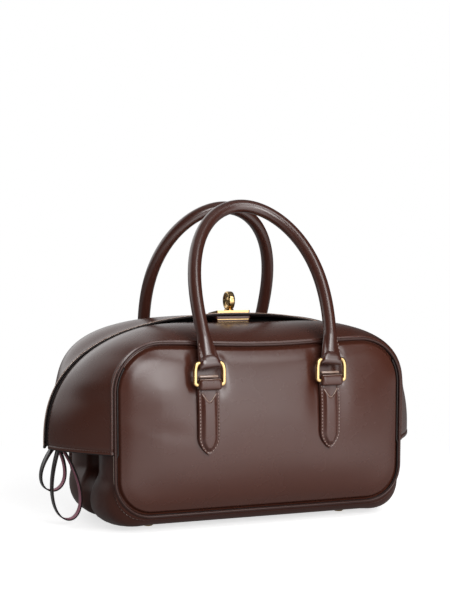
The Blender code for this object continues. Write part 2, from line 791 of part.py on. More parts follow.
def handle_section(centre, along, half_width, half_depth, fullness):
    """A ring of points square to the path, from round to a flat tab as fullness grows."""
    across = Vector((0, 1, 0)).cross(along).normalized()
    deep = along.cross(across).normalized()
    points = []
    for k in range(HANDLE_SIDES):
        angle = 2 * pi * (k + 0.5) / HANDLE_SIDES
        c = cos(angle)
        s = sin(angle)
        power = 2 / (2 + fullness)
        a = half_width * (1 if c > 0 else -1) * abs(c) ** power
        b = half_depth * (1 if s > 0 else -1) * abs(s) ** power
        points.append(centre + across * a + deep * b)
    return points


def handle_leg(side):
    """Sections from the foot of the left tab up to the top of the flare."""
    eye = eye_radius()
    base = handle_centre(side, 0.0)
    rise = handle_centre(side, FLARE_TOP) - base
    along = rise.normalized()
    sections = []
    for drop in TAB_FOOT_SHARES:
        half_depth = eye * sqrt(1 - drop ** 2)
        centre = base - along * eye * drop
        sections.append(handle_section(centre, along, TAB_HALF_WIDTH, half_depth, TAB_SQUARENESS))
    top = base + along * TAB_TOP
    sections.append(handle_section(top, along, TAB_HALF_WIDTH, eye, TAB_SQUARENESS))
    for share in FLARE_SHARES:
        part = smooth_step(share)
        width = TAB_HALF_WIDTH + (HANDLE_RADIUS - TAB_HALF_WIDTH) * part
        depth = eye + (HANDLE_RADIUS - eye) * part
        height = TAB_TOP + (FLARE_TOP - TAB_TOP) * share
        squareness = TAB_SQUARENESS * (1 - part)
        sections.append(handle_section(base + along * height, along, width, depth, squareness))
    return sections


def handle_path(side):
    """Even steps over the arch between the tops of the two flares."""
    rises = [FLARE_TOP + (HANDLE_RISE - FLARE_TOP) * sin(pi / 2 * k / 60) for k in range(61)]
    left = [handle_centre(side, rise) for rise in rises]
    right = [Vector((-p.x, p.y, p.z)) for p in left[:-1]]
    fine = np.array([tuple(p) for p in left + right[::-1]])
    shares = along_shares(fine)
    wanted = np.linspace(0, 1, HANDLE_STEPS + 1)
    return [Vector([np.interp(w, shares, fine[:, axis]) for axis in range(3)]) for w in wanted]


def make_handle(side):
    name = SIDE_NAMES[side] + "_handle"
    leg = handle_leg(side)
    path = handle_path(side)
    sections = list(leg)
    for k, centre in enumerate(path):
        before = path[max(0, k - 1)]
        after = path[min(len(path) - 1, k + 1)]
        along = (after - before).normalized()
        sections.append(handle_section(centre, along, HANDLE_RADIUS, HANDLE_RADIUS, 0.0))
    for section in leg[::-1]:
        sections.append([Vector((-p.x, p.y, p.z)) for p in section])
    handle = loft(name, sections, "handle_leather")
    upper_bar = RING_LOWER_BAR + RING_HEIGHT
    y = side * bar_depth()
    set_origin(handle, (LEFT * RING_X, y, upper_bar))
    for hand in (LEFT, RIGHT):
        cut_bar(handle, hand, y, upper_bar)
    return handle


# Zip behind the mouth

def zip_line():
    """Centre line of the zip: the ridge, set back into the bag."""
    return [
        (x - out_x * ZIP_DROP, z - out_z * ZIP_DROP, out_x, out_z)
        for x, z, out_x, out_z in matched_ridge()
    ]


def zip_rows(rows):
    """The rows of a zip piece above the lower end of its left side; a row starts on the zip."""
    first = next(k for k, row in enumerate(rows) if row[0].z > CHAIN_END)
    before, after = rows[first - 1], rows[first]
    share = (CHAIN_END - before[0].z) / (after[0].z - before[0].z)
    start = [a.lerp(b, share) for a, b in zip(before, after)]
    rest = rows[first:] if share < ROW_MERGE_SHARE else rows[first + 1:]
    return [start] + rest


def make_chain():
    grid = []
    for x, z, out_x, out_z in zip_line():
        lift = CHAIN_THICKNESS / 2
        depths = (-CHAIN_HALF_WIDTH, 0.0, CHAIN_HALF_WIDTH)
        grid.append([Vector((x + out_x * lift, y, z + out_z * lift)) for y in depths])
    return sheet("zip_chain", zip_rows(grid), CHAIN_THICKNESS, "brass", 1.0)


def make_facing(side):
    """A strip from the zip's teeth to the underside of the top panel, wider behind the lock."""
    seams = hood_outline()
    ridges = matched_ridge()
    grid = []
    for seam, ridge, line in zip(seams, ridges, zip_line()):
        lift = FACING / 2
        wider = mouth_share(ridge[0]) if side == REAR else 0.0
        flat_share = FACING_FLAT_SHARE + FACING_LOCK_EXTRA * wider
        high_share = FACING_HIGH_SHARE + FACING_LOCK_EXTRA * wider
        y = side * (CHAIN_HALF_WIDTH + GAP)
        edge = Vector((line[0] + line[2] * lift, y, line[1] + line[3] * lift))
        under = top_point(side, seam, ridge, high_share, LEATHER + 3 * GAP)
        level = top_point(side, seam, ridge, flat_share)
        flat = Vector((edge.x, level.y, edge.z))
        grid.append([edge, flat, under])
    turn = 1.0 if side == FRONT else -1.0
    name = SIDE_NAMES[side] + "_zip_facing"
    return sheet(name, zip_rows(grid), FACING, "dark_fabric", -turn)


def slider_frame():
    """Place and directions of the slider on the left end of the zip."""
    foot, upper = [row[0] for row in zip_rows([[Vector((p[0], 0.0, p[1]))] for p in zip_line()])][:2]
    up = (upper - foot).normalized()
    out = Vector((-up.z, 0.0, up.x))
    return foot, up, out


def slab_sections(foot, up, out, low, high, near, far, half_width):
    """A block given by its run along up and its reach along out."""
    sections = []
    for y in (-half_width, half_width):
        side = Vector((0, y, 0))
        corners = ((low, near), (high, near), (high, far), (low, far))
        sections.append([foot + up * a + out * b + side for a, b in corners])
    return sections


def make_slider():
    foot, up, out = slider_frame()
    reach = CHAIN_THICKNESS / 2 + SLIDER_CLEARANCE
    low = -SLIDER_LENGTH / 2
    high = SLIDER_LENGTH / 2
    plate = reach + SLIDER_PLATE
    outer = slab_sections(foot, up, out, low, high, -plate, -reach, SLIDER_HALF_WIDTH)
    inner = slab_sections(foot, up, out, low, high, reach, plate, SLIDER_HALF_WIDTH)
    eye_top = PULL_RING_TOP - foot.z - PULL_WIRE - GAP - SLIDER_PLATE
    thick = plate - GAP
    post = slab_sections(foot, up, out, eye_top, -GAP, -thick, thick, CHAIN_HALF_WIDTH - GAP)
    slider = loft("zip_slider", outer, "brass")
    combine(slider, loft_tool("slider_inner_plate", inner), "UNION")
    combine(slider, loft_tool("slider_post", post), "UNION")
    x = slider_eye().x
    start = (x, -SLIDER_HALF_WIDTH, PULL_RING_TOP)
    end = (x, SLIDER_HALF_WIDTH, PULL_RING_TOP)
    bore = cylinder_sections(start, end, PULL_WIRE + GAP, BORE_SIDES)
    combine(slider, loft_tool("slider_bore", bore), "DIFFERENCE")
    return slider


def slider_eye():
    foot, up, _ = slider_frame()
    return foot + up * ((PULL_RING_TOP - foot.z) / up.z)


def make_pull_ring():
    eye = slider_eye()
    outline = rounded_outline(PULL_RING_HALF_WIDTH, PULL_RING_HEIGHT / 2, PULL_RING_CORNER, 3)
    middle = eye.z - PULL_RING_HEIGHT / 2
    path = [(eye.x, a, middle + b) for a, b in outline]
    ring = closed_tube("pull_ring", path, (1, 0, 0), PULL_WIRE, "brass")
    set_origin(ring, eye)
    return ring


def teardrop(length, span, start, steps):
    """A drop that hangs from the origin: narrow at the top, round at the foot."""
    shape = [sin(t) * sin(t / 2) ** LOOP_TAPER for t in np.linspace(0, pi, 60)]
    widest = max(shape)
    points = []
    for k in range(steps):
        angle = 2 * pi * k / steps
        t = angle if angle <= pi else 2 * pi - angle
        hand = 1 if angle <= pi else -1
        a = hand * span / 2 * sin(t) * sin(t / 2) ** LOOP_TAPER / widest
        points.append((a, -start - (length - start) * (1 - cos(t)) / 2))
    return points


def make_pull_loop(name, length, span, tilt, low, high):
    eye = slider_eye()
    pivot = Vector((eye.x, 0.0, eye.z - PULL_RING_HEIGHT))
    turn = Matrix.Rotation(radians(tilt), 3, "Y")
    eye_size = PULL_WIRE + GAP + LOOP_THICKNESS

    def placed(outline, near, far):
        sections = prism_sections(outline, near, far, "Y")
        return [[pivot + turn @ p for p in section] for section in sections]

    outline = teardrop(length, span, 0.0, LOOP_STEPS)
    outer = loft(name, placed(outline, low, high), "pull_leather")
    ring = rounded_outline(eye_size, eye_size, eye_size, 3)
    bore = rounded_outline(PULL_WIRE + GAP, PULL_WIRE + GAP, PULL_WIRE + GAP, 3)
    start = eye_size + LOOP_THICKNESS
    hollow = teardrop(length - LOOP_THICKNESS, span - 2 * LOOP_THICKNESS, start, HOLLOW_STEPS)
    combine(outer, loft_tool(name + "_eye", placed(ring, low, high)), "UNION")
    near = low - CUT_REACH
    far = high + CUT_REACH
    combine(outer, loft_tool(name + "_hollow", placed(hollow, near, far)), "DIFFERENCE")
    combine(outer, loft_tool(name + "_bore", placed(bore, near, far)), "DIFFERENCE")
    set_origin(outer, pivot)
    return outer


# Turn lock

def slot_outline(half_length, half_width, steps=5):
    points = []
    for hand in (1, -1):
        for k in range(steps + 1):
            angle = -pi / 2 + pi * k / steps
            a = hand * (half_length - half_width + half_width * cos(angle))
            points.append((a, LOCK_Y + hand * half_width * sin(angle)))
    return points


def rear_lip_heights():
    """Highest outer and lowest inner height of the rear top panel under the lock."""
    inside = []
    for seam, ridge in zip(hood_outline(), matched_ridge()):
        if abs(ridge[0]) > LOCK_HALF_LENGTH + LOCK_CLEAR:
            continue
        for k in range(101):
            point = top_point(REAR, seam, ridge, k / 100)
            if point.y <= LOCK_REAR + CUT_REACH:
                inside.append(point.z)
    return max(inside), min(inside) - LEATHER


def lock_heights():
    """Heights of the stack: tongue, base plate, backing plate, cap."""
    outer, inner = rear_lip_heights()
    tongue_top = RIDGE_TOP - FRONT_LIP_DROP - GAP
    base_top = tongue_top + GAP + LOCK_PLATE
    backing_top = inner - 2 * GAP
    cap_low = outer + GAP
    return tongue_top, base_top, backing_top, cap_low


def add_tongue(front_top):
    """The front panel's tongue that carries the lock's base under the rear lip."""
    tongue_top = lock_heights()[0]
    half_depth = (TONGUE_REAR - TONGUE_FRONT) / 2
    centre = (0.0, (TONGUE_REAR + TONGUE_FRONT) / 2)
    outline = rounded_outline(TONGUE_HALF_WIDTH, half_depth, TONGUE_CORNER, 3, centre)
    sections = prism_sections(outline, tongue_top - LEATHER, tongue_top, "Z")
    combine(front_top, loft_tool("tongue", sections), "UNION")
    start = (0, LOCK_Y, tongue_top - LEATHER - CUT_REACH)
    end = (0, LOCK_Y, tongue_top + CUT_REACH)
    hole = cylinder_sections(start, end, STEM_HEAD_RADIUS + GAP, STEM_SIDES)
    combine(front_top, loft_tool("tongue_hole", hole), "DIFFERENCE")


def plate_outline():
    half_depth = (LOCK_REAR - LOCK_FRONT) / 2
    centre = (0.0, (LOCK_REAR + LOCK_FRONT) / 2)
    return rounded_outline(LOCK_HALF_LENGTH, half_depth, PLATE_CORNER, 2, centre)


def slot_tool(name, low, high):
    outline = slot_outline(SLOT_HALF_LENGTH, SLOT_HALF_WIDTH)
    return loft_tool(name, prism_sections(outline, low, high, "Z"))


def make_lock_base():
    tongue_top, base_top, _, cap_low = lock_heights()
    sections = prism_sections(plate_outline(), tongue_top + GAP, base_top, "Z")
    base = loft("lock_base", sections, "brass")
    outline = slot_outline(SLOT_HALF_LENGTH - GAP, SLOT_HALF_WIDTH - GAP)
    boss = prism_sections(outline, base_top - LOCK_PLATE / 2, cap_low + LOCK_CAP_REAR, "Z")
    combine(base, loft_tool("lock_boss", boss), "UNION")
    start = (0, LOCK_Y, tongue_top - CUT_REACH)
    end = (0, LOCK_Y, cap_low + LOCK_CAP_REAR + CUT_REACH)
    bore = cylinder_sections(start, end, STEM_RADIUS + GAP, STEM_SIDES)
    combine(base, loft_tool("lock_base_bore", bore), "DIFFERENCE")
    return base


def make_backing_plate():
    backing_top = lock_heights()[2]
    sections = prism_sections(plate_outline(), backing_top - LOCK_PLATE, backing_top, "Z")
    plate = loft("lock_backing_plate", sections, "brass")
    low = backing_top - LOCK_PLATE - CUT_REACH
    combine(plate, slot_tool("backing_slot", low, backing_top + CUT_REACH), "DIFFERENCE")
    return plate


def cap_rise(y):
    """Height of the cap's sloping top above its underside."""
    share = (y - LOCK_FRONT) / (LOCK_REAR - LOCK_FRONT)
    return LOCK_CAP_FRONT + (LOCK_CAP_REAR - LOCK_CAP_FRONT) * share


def make_lock_cap():
    """A plate with a deep front edge that thins towards the rear."""
    low = lock_heights()[3]
    sections = []
    outline = plate_outline()
    depth = LOCK_REAR - LOCK_FRONT
    sections.append([Vector((a, b, low)) for a, b in outline])
    for shrink, share in ((0.0, CAP_SIDE_SHARE), (CAP_BEVEL, 1.0)):
        ring = []
        for a, b in outline:
            inner_a = a * (1 - shrink / LOCK_HALF_LENGTH)
            inner_b = LOCK_Y + (b - LOCK_Y) * (1 - 2 * shrink / depth)
            ring.append(Vector((inner_a, inner_b, low + share * cap_rise(b))))
        sections.append(ring)
    cap = loft("lock_cap", sections, "brass")
    high = low + LOCK_CAP_FRONT + CUT_REACH
    combine(cap, slot_tool("cap_slot", low - CUT_REACH, high), "DIFFERENCE")
    return cap


def make_knob():
    """A dished round knob standing on edge on a foot, with its stem through the base."""
    tongue_top, _, _, cap_low = lock_heights()
    shoulder = cap_low + cap_rise(LOCK_Y - KNOB_FOOT_RADIUS) + GAP
    centre = Vector((0.0, LOCK_Y, shoulder + KNOB_FOOT_HEIGHT / 2 + KNOB_RADIUS))
    rim = KNOB_HALF_THICKNESS
    dish = rim - KNOB_DISH
    half = [(KNOB_HUB_RADIUS, rim - HUB_BEVEL), (KNOB_HUB_RADIUS + HUB_BEVEL, dish)]
    half += [(KNOB_DISH_RADIUS - KNOB_BEVEL, dish), (KNOB_DISH_RADIUS, rim)]
    half += [(KNOB_RADIUS - KNOB_BEVEL, rim), (KNOB_RADIUS, rim - KNOB_BEVEL)]
    profile = half + [(radius, -height) for radius, height in half[::-1]]
    turn = Matrix.Rotation(pi / 2, 3, "Y")
    points, faces = turned(profile, centre, turn, KNOB_SIDES)
    knob = mesh_object("lock_knob", points, faces, "brass")
    boss_top = cap_low + LOCK_CAP_REAR
    head_low = tongue_top - LEATHER + GAP
    stem = [(STEM_HEAD_RADIUS, head_low), (STEM_HEAD_RADIUS, tongue_top), (STEM_RADIUS, tongue_top)]
    stem += [(STEM_RADIUS, boss_top + GAP), (KNOB_NECK_RADIUS, boss_top + GAP)]
    stem += [(KNOB_NECK_RADIUS, shoulder), (KNOB_FOOT_RADIUS, shoulder)]
    stem += [(KNOB_FOOT_RADIUS, shoulder + KNOB_FOOT_HEIGHT)]
    points, faces = turned(stem, (0.0, LOCK_Y, 0.0), UPRIGHT, STEM_SIDES)
    combine(knob, tool("knob_stem", points, faces), "UNION")
    set_origin(knob, (0.0, LOCK_Y, centre.z))
    return knob


# Assembly

def make_base(gusset):
    board_low = base_height() + LEATHER + GAP
    board = make_board(board_low)
    board_top = board_low + BOARD_THICKNESS
    for side in (FRONT, REAR):
        for hand in (LEFT, RIGHT):
            label = SIDE_NAMES[side] + "_" + HAND_NAMES[hand]
            x = hand * FOOT_X
            y = side * FOOT_Y
            make_foot(label + "_foot", x, y, board_top)
            top = board_top + CUT_REACH
            hole = cylinder_sections((x, y, 0.0), (x, y, top), PIN_RADIUS + GAP, FOOT_SIDES)
            cutter = loft_tool(label + "_pin_hole", hole)
            combine(gusset, cutter, "DIFFERENCE")
            combine(board, cutter, "DIFFERENCE")


def make_grips():
    for side in (FRONT, REAR):
        rings = {}
        for hand in (LEFT, RIGHT):
            make_chape(side, hand)
            rings[hand] = make_ring(side, hand)
        attach(make_handle(side), rings[LEFT])


def make_zip():
    make_chain()
    for side in (FRONT, REAR):
        make_facing(side)
    make_slider()
    ring = make_pull_ring()
    far = GAP + LOOP_WIDTH
    short = make_pull_loop(
        "short_pull_loop", SHORT_LOOP_LENGTH, SHORT_LOOP_SPAN, SHORT_LOOP_TILT, GAP, far,
    )
    long = make_pull_loop(
        "long_pull_loop", LONG_LOOP_LENGTH, LONG_LOOP_SPAN, LONG_LOOP_TILT, -far, -GAP,
    )
    attach(short, ring)
    attach(long, ring)


def make_lock(front_top, rear_top):
    add_tongue(front_top)
    low = rear_lip_heights()[1]
    high = lock_heights()[3]
    cutter = slot_tool("rear_lip_slot", low - CUT_REACH, high + CUT_REACH)
    combine(rear_top, cutter, "DIFFERENCE")
    make_lock_base()
    make_backing_plate()
    make_lock_cap()
    make_knob()


def main():
    clear_scene()
    for side in (FRONT, REAR):
        make_panel(side)
        make_piping(side)
    front_top = make_top_panel(FRONT)
    rear_top = make_top_panel(REAR)
    gusset = make_gusset()
    make_base(gusset)
    make_grips()
    make_zip()
    make_lock(front_top, rear_top)


main()
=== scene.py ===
# %% [markdown]
# # A glossy leather handbag
# This lesson dresses a leather handbag for a studio picture. The engineering model of the bag is
# loaded first as a fixed frame. Its zip slider and base board are kept. The stiff stand-ins for
# leather are replaced by skins with rolled edges, seams and stitches, and the metal by finer
# pieces of the same size.

# %% Load the frame
from math import cos, pi, radians, sin, sqrt

import bmesh
import bpy
import numpy as np
from mathutils import Matrix, Vector


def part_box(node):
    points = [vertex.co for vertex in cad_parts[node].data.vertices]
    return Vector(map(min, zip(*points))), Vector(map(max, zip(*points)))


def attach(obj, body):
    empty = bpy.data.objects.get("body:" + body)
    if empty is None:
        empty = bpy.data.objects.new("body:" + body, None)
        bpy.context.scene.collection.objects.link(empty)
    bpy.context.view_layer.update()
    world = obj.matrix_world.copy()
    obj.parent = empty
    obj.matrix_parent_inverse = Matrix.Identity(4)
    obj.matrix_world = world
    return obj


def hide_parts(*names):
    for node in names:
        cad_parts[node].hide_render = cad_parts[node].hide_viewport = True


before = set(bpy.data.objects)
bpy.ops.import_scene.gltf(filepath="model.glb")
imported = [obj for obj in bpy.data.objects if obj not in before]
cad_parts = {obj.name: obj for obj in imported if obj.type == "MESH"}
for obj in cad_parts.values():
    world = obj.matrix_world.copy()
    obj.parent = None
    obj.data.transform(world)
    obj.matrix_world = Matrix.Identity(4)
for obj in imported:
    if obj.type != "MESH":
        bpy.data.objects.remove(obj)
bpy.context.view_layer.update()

# %% [markdown]
# ## Sizes
# The skins must sit where the stand-ins are, so they use the same sizes in metres. The bag stands
# on the floor at the origin, with its front towards -Y.

# %% Sizes shared by all the pieces
HALF_LENGTH = 0.1475
HALF_DEPTH = 0.0760
SEAM_LOW = 0.0165
SEAM_HIGH = 0.1770
MID_HEIGHT = (SEAM_LOW + SEAM_HIGH) / 2
HALF_HEIGHT = (SEAM_HIGH - SEAM_LOW) / 2
TOP_CORNER = 0.0440
BASE_CORNER = 0.0360
HEM_HEIGHT = 0.0760
BELLY = 0.0117
LEATHER = 0.0024
SKIN = LEATHER - 0.0002
GAP = 0.0003
FRONT = -1
REAR = 1
SIDES = {FRONT: "front", REAR: "rear"}
HANDS = {-1: "left", 1: "right"}
CORNERS = [(side, hand, SIDES[side] + "_" + HANDS[hand]) for side in SIDES for hand in HANDS]
print("body", 2 * HALF_LENGTH, "by", 2 * HALF_DEPTH, "m over the seams")

# %% [markdown]
# ## Camera
# The picture is taken from the left and a little above, with a long lens from well over a metre.
# The camera looks straight at the middle of the bag, and a small shift of the lens moves the bag to
# its place in the picture. Turning the camera instead would change the slant of the bag's edges.

# %% Camera


def put(name, data):
    """Makes an object from its data and links it to the scene."""
    made = bpy.data.objects.new(name, data)
    bpy.context.scene.collection.objects.link(made)
    return made


def look(thing, place, target):
    """Puts a camera or a lamp at a place and points it at a target."""
    thing.location = place
    thing.rotation_mode = "QUATERNION"
    thing.rotation_quaternion = (Vector(target) - Vector(place)).to_track_quat("-Z", "Y")
    return thing


camera_data = bpy.data.cameras.new("camera")
camera_data.lens = 81.93
camera_data.sensor_width = 36.0
camera_data.shift_x = -0.0128
camera_data.shift_y = 0.1718
camera_data.clip_start = 0.05
camera_data.clip_end = 60.0
camera = look(put("camera", camera_data), (-0.5216, -1.2549, 0.2528), (-0.0004, 0.0, 0.1107))
bpy.context.scene.camera = camera
bpy.context.scene.view_settings.view_transform = "Standard"
print("camera at", tuple(round(v, 3) for v in camera.location))

# %% [markdown]
# ## Room
# Glossy leather shows the room more than the lamps. So the room that it mirrors is drawn on
# purpose: a white wall low behind the bag and darkness overhead and in front. An even dim light,
# which only matt shading sees, fills the shadows. A photographed room would light the bag too, but
# a wall drawn from a direction's X, Y and Z can be moved and dimmed with a few numbers. The camera
# itself sees plain white.

# %% Helpers for nodes


def feed(tree, socket, value):
    """Links another node's output to an input, or sets the input's own value."""
    if isinstance(value, bpy.types.NodeSocket):
        tree.links.new(value, socket)
    else:
        socket.default_value = value


def node(tree, kind, feeds=None, **settings):
    """Adds a node, sets its properties and feeds its inputs."""
    made = tree.nodes.new(kind)
    for key, value in settings.items():
        setattr(made, key, value)
    for key, value in (feeds or {}).items():
        feed(tree, made.inputs[key], value)
    return made


def math_node(tree, operation, *values, clamp=False):
    feeds = dict(enumerate(values))
    return node(tree, "ShaderNodeMath", feeds, operation=operation, use_clamp=clamp).outputs[0]


def times(tree, first, second):
    return math_node(tree, "MULTIPLY", first, second)


def plus(tree, first, second):
    return math_node(tree, "ADD", first, second)


def ramp(tree, value, low, high, start, end):
    """A smooth change from start to end while the value goes from low to high."""
    feeds = {"Value": value, "From Min": low, "From Max": high, "To Min": start, "To Max": end}
    return node(tree, "ShaderNodeMapRange", feeds, interpolation_type="SMOOTHSTEP").outputs[0]


print("helpers made:", feed.__name__, node.__name__, math_node.__name__, ramp.__name__)

# %% Room
WHITE = (1, 1, 1, 1)
WALL_WAY = (-0.42, 0.906)
WALL_LIGHT = 1.35
CEILING_LIGHT = 0.22
DARKEST = 0.015
FILL_LIGHT = 0.24
world = bpy.data.worlds.new("room")
world.use_nodes = True
bpy.context.scene.world = world
room = world.node_tree
room.nodes.clear()
facing = node(room, "ShaderNodeTexCoord").outputs["Generated"]
way = node(room, "ShaderNodeSeparateXYZ", {0: facing}).outputs
level = math_node(room, "SUBTRACT", 1.0, times(room, way["Z"], way["Z"]), clamp=True)
level = math_node(room, "MAXIMUM", math_node(room, "SQRT", level), 0.05)
toward_wall = plus(room, times(room, way["X"], WALL_WAY[0]), times(room, way["Y"], WALL_WAY[1]))
behind = ramp(room, math_node(room, "DIVIDE", toward_wall, level), 0.42, 0.95, 0.0, 1.0)
low_down = ramp(room, way["Z"], 0.62, 0.90, 1.0, 0.0)
above_floor = ramp(room, way["Z"], 0.02, 0.22, 0.05, 1.0)
wall = times(room, times(room, behind, low_down), above_floor)
dim = plus(room, ramp(room, way["Z"], 0.75, 0.95, 0.0, CEILING_LIGHT), DARKEST)
mirrored = plus(room, times(room, wall, WALL_LIGHT), dim)
rays = node(room, "ShaderNodeLightPath").outputs
difference = math_node(room, "SUBTRACT", FILL_LIGHT, mirrored)
strength = plus(room, mirrored, times(room, difference, rays["Is Diffuse Ray"]))
soft = node(room, "ShaderNodeBackground", {"Color": WHITE, "Strength": strength})
white = node(room, "ShaderNodeBackground", {"Color": WHITE, "Strength": 1.0})
seen = math_node(room, "MAXIMUM", rays["Is Camera Ray"], rays["Is Transmission Ray"])
choose = node(room, "ShaderNodeMixShader", {0: seen, 1: soft.outputs[0], 2: white.outputs[0]})
node(room, "ShaderNodeOutputWorld", {"Surface": choose.outputs[0]})
print("room nodes", len(room.nodes))

# %% [markdown]
# ## Lamps
# Three broad soft boxes stand at the front. The strongest lights the front panel, the high one
# draws the long sheens on the top and the handles, and the right one brightens the right end. Area
# lamps are used because their size shows as the width of each sheen.

# %% Soft boxes


def soft_box(name, place, target, width, height, power):
    """A rectangular lamp pointed at a place."""
    lamp = bpy.data.lights.new(name, "AREA")
    lamp.shape = "RECTANGLE"
    lamp.size = width
    lamp.size_y = height
    lamp.energy = power
    return look(put(name, lamp), place, target)


soft_box("front_box", (-0.13, -1.52, 0.62), (0, 0, 0.12), 0.68, 0.60, 9.2)
soft_box("high_box", (0.37, -0.92, 1.05), (0.0, -0.05, 0.22), 0.42, 0.60, 3.4)
soft_box("right_box", (0.35, -1.08, 0.33), (0.02, 0, 0.17), 0.68, 0.64, 3.3)

# %% [markdown]
# ## Floor
# The floor is white paper. A large plain sheet is enough, because its edges are never seen: near
# the bag it is matt and keeps a faint shadow, and farther out it glows as white as the background.
# In reflections and bounced light the paper is a darker grey, as painted shade, and in front of
# the bag it glows in reflections only, as a painted reflection that the glossy leather mirrors.

# %% Floor
FLOOR_HALF = 6
PAPER_SEEN = 0.90
PAPER_PAINTED_SHADE = 0.42
PAPER_GLOW = 0.68
PAPER_REFLECTION_GLOW = 1.15
floor_mesh = bpy.data.meshes.new("floor")
floor_signs = ((-1, -1), (1, -1), (1, 1), (-1, 1))
floor_points = [(FLOOR_HALF * a, FLOOR_HALF * b, 0) for a, b in floor_signs]
floor_mesh.from_pydata(floor_points, [], [(0, 1, 2, 3)])
floor = put("floor", floor_mesh)
paper = bpy.data.materials.new("white_paper")
paper.use_nodes = True
tree = paper.node_tree
tree.nodes.clear()
where = node(tree, "ShaderNodeTexCoord").outputs["Object"]
rays = node(tree, "ShaderNodeLightPath").outputs
far = node(tree, "ShaderNodeVectorMath", {0: where}, operation="LENGTH").outputs["Value"]
seen_far = times(tree, ramp(tree, far, 0.20, 0.60, 0.0, 1.0), rays["Is Camera Ray"])
# Seen by any ray but the camera's, the paper is a darker grey: painted shade.
paper_colour = ramp(tree, rays["Is Camera Ray"], 0.0, 1.0, PAPER_PAINTED_SHADE, PAPER_SEEN)
matt = node(tree, "ShaderNodeBsdfDiffuse", {"Color": paper_colour})
spot = node(tree, "ShaderNodeSeparateXYZ", {0: where}).outputs
# A glow that only reflections see, in front of the bag: a painted reflection on the leather.
reflection_glow_part = ramp(tree, spot["X"], -0.55, 0.0, 0.05, 1.0)
reflection_glow_part = times(tree, reflection_glow_part, ramp(tree, spot["Y"], -0.30, -0.10, 1.0, 0.1))
reflection_glow_part = times(tree, reflection_glow_part, ramp(tree, spot["X"], 0.20, 0.70, 1.0, 0.4))
for_gloss = times(tree, rays["Is Glossy Ray"], times(tree, reflection_glow_part, PAPER_REFLECTION_GLOW))
for_camera = times(tree, rays["Is Camera Ray"], PAPER_GLOW)
lift = plus(tree, for_gloss, for_camera)
lift = node(tree, "ShaderNodeEmission", {"Color": WHITE, "Strength": lift})
near = node(tree, "ShaderNodeAddShader", {0: matt.outputs[0], 1: lift.outputs[0]})
glow = node(tree, "ShaderNodeEmission", {"Color": WHITE, "Strength": 1.0})
feeds = {0: seen_far, 1: near.outputs[0], 2: glow.outputs[0]}
blend_floor = node(tree, "ShaderNodeMixShader", feeds)
node(tree, "ShaderNodeOutputMaterial", {"Surface": blend_floor.outputs[0]})
floor_mesh.materials.append(paper)
print("floor", 2 * FLOOR_HALF, "m wide,", len(tree.nodes), "nodes")

# %% [markdown]
# ## Polished calf
# Polished calf has almost no grain: fine pores, a slow change of tone where the dye took
# differently, and a polish that is a little uneven. A scanned texture could show this, but noise on
# the piece's own coordinates has no seams and never repeats. One shader group makes it for every
# leather of the bag, and each leather gives it its own colours and depths.

# %% Helpers for node groups and textures


def new_tree(name, kind, inputs, outputs):
    """A node group with named sockets, each given as a label, a kind and perhaps a value."""
    made = bpy.data.node_groups.new(name, kind)
    for direction, sockets in (("INPUT", inputs), ("OUTPUT", outputs)):
        for label, sort, *value in sockets:
            sort = "NodeSocket" + sort
            socket = made.interface.new_socket(name=label, in_out=direction, socket_type=sort)
            if value:
                socket.default_value = value[0]
    return made, node(made, "NodeGroupInput"), node(made, "NodeGroupOutput")


def noise(tree, source, scale, detail=3.0, rough=0.55):
    feeds = {"Vector": source, "Scale": scale, "Detail": detail, "Roughness": rough}
    return node(tree, "ShaderNodeTexNoise", feeds).outputs["Fac"]


def blend(tree, share, first, second):
    """The first colour where the share is 0, the second where it is 1."""
    feeds = {"Factor": share, 6: first, 7: second}
    return node(tree, "ShaderNodeMix", feeds, data_type="RGBA").outputs[2]


def bump(tree, height, strength, distance):
    feeds = {"Height": height, "Strength": strength, "Distance": distance}
    return node(tree, "ShaderNodeBump", feeds)


print("helpers made:", new_tree.__name__, noise.__name__, blend.__name__, bump.__name__)

# %% A shader group for polished calf
PORES_PER_METRE = 1500.0
FINISH_OUTPUTS = [("Color", "Color"), ("Roughness", "Float"), ("Normal", "Vector")]
calf_inputs = [
    ("Light", "Color", (0.08, 0.04, 0.03, 1)),
    ("Dark", "Color", (0.03, 0.015, 0.012, 1)),
    ("Polish", "Float", 0.3),
    ("Unevenness", "Float", 0.08),
    ("Pore Depth", "Float", 0.06),
    ("Ripple Depth", "Float", 0.04),
]
calf, calf_in, calf_out = new_tree("polished_calf", "ShaderNodeTree", calf_inputs, FINISH_OUTPUTS)
given = calf_in.outputs
where = node(calf, "ShaderNodeTexCoord").outputs["Object"]
tone = blend(calf, noise(calf, where, 14.0, 4.0), given["Light"], given["Dark"])
wander = math_node(calf, "SUBTRACT", noise(calf, where, 38.0), 0.5)
wander = times(calf, wander, given["Unevenness"])
polish = math_node(calf, "ADD", given["Polish"], wander, clamp=True)
pore_feeds = {"Scale": PORES_PER_METRE, "Vector": where}
pores = node(calf, "ShaderNodeTexVoronoi", pore_feeds, feature="F1").outputs["Distance"]
pore_bump = bump(calf, pores, given["Pore Depth"], 0.0002)
ripple_bump = bump(calf, noise(calf, where, 55.0, 2.0), given["Ripple Depth"], 0.002)
feed(calf, ripple_bump.inputs["Normal"], pore_bump.outputs[0])
for label, value in (("Color", tone), ("Roughness", polish), ("Normal", ripple_bump.outputs[0])):
    feed(calf, calf_out.inputs[label], value)
print("calf group sockets", len(calf.interface.items_tree))

# %% [markdown]
# ## Leathers
# The bag is cut from one dark brown calf, but each piece takes the light in its own way: the
# handles are rubbed glossy, the gusset is duller, and cut edges are painted dark. The gusset and
# the piping cord are also darker in tone than the body, as painted shade, and light-coloured lines
# along some edges are painted highlights. So every piece gets a material of its own from the same
# group. Colours are given as a lighter and a darker tone. Numbers that are the same all over a
# piece are set on the shader itself.

# %% Leathers
FROM_GROUP = {"Color": "Base Color", "Roughness": "Roughness", "Normal": "Normal"}


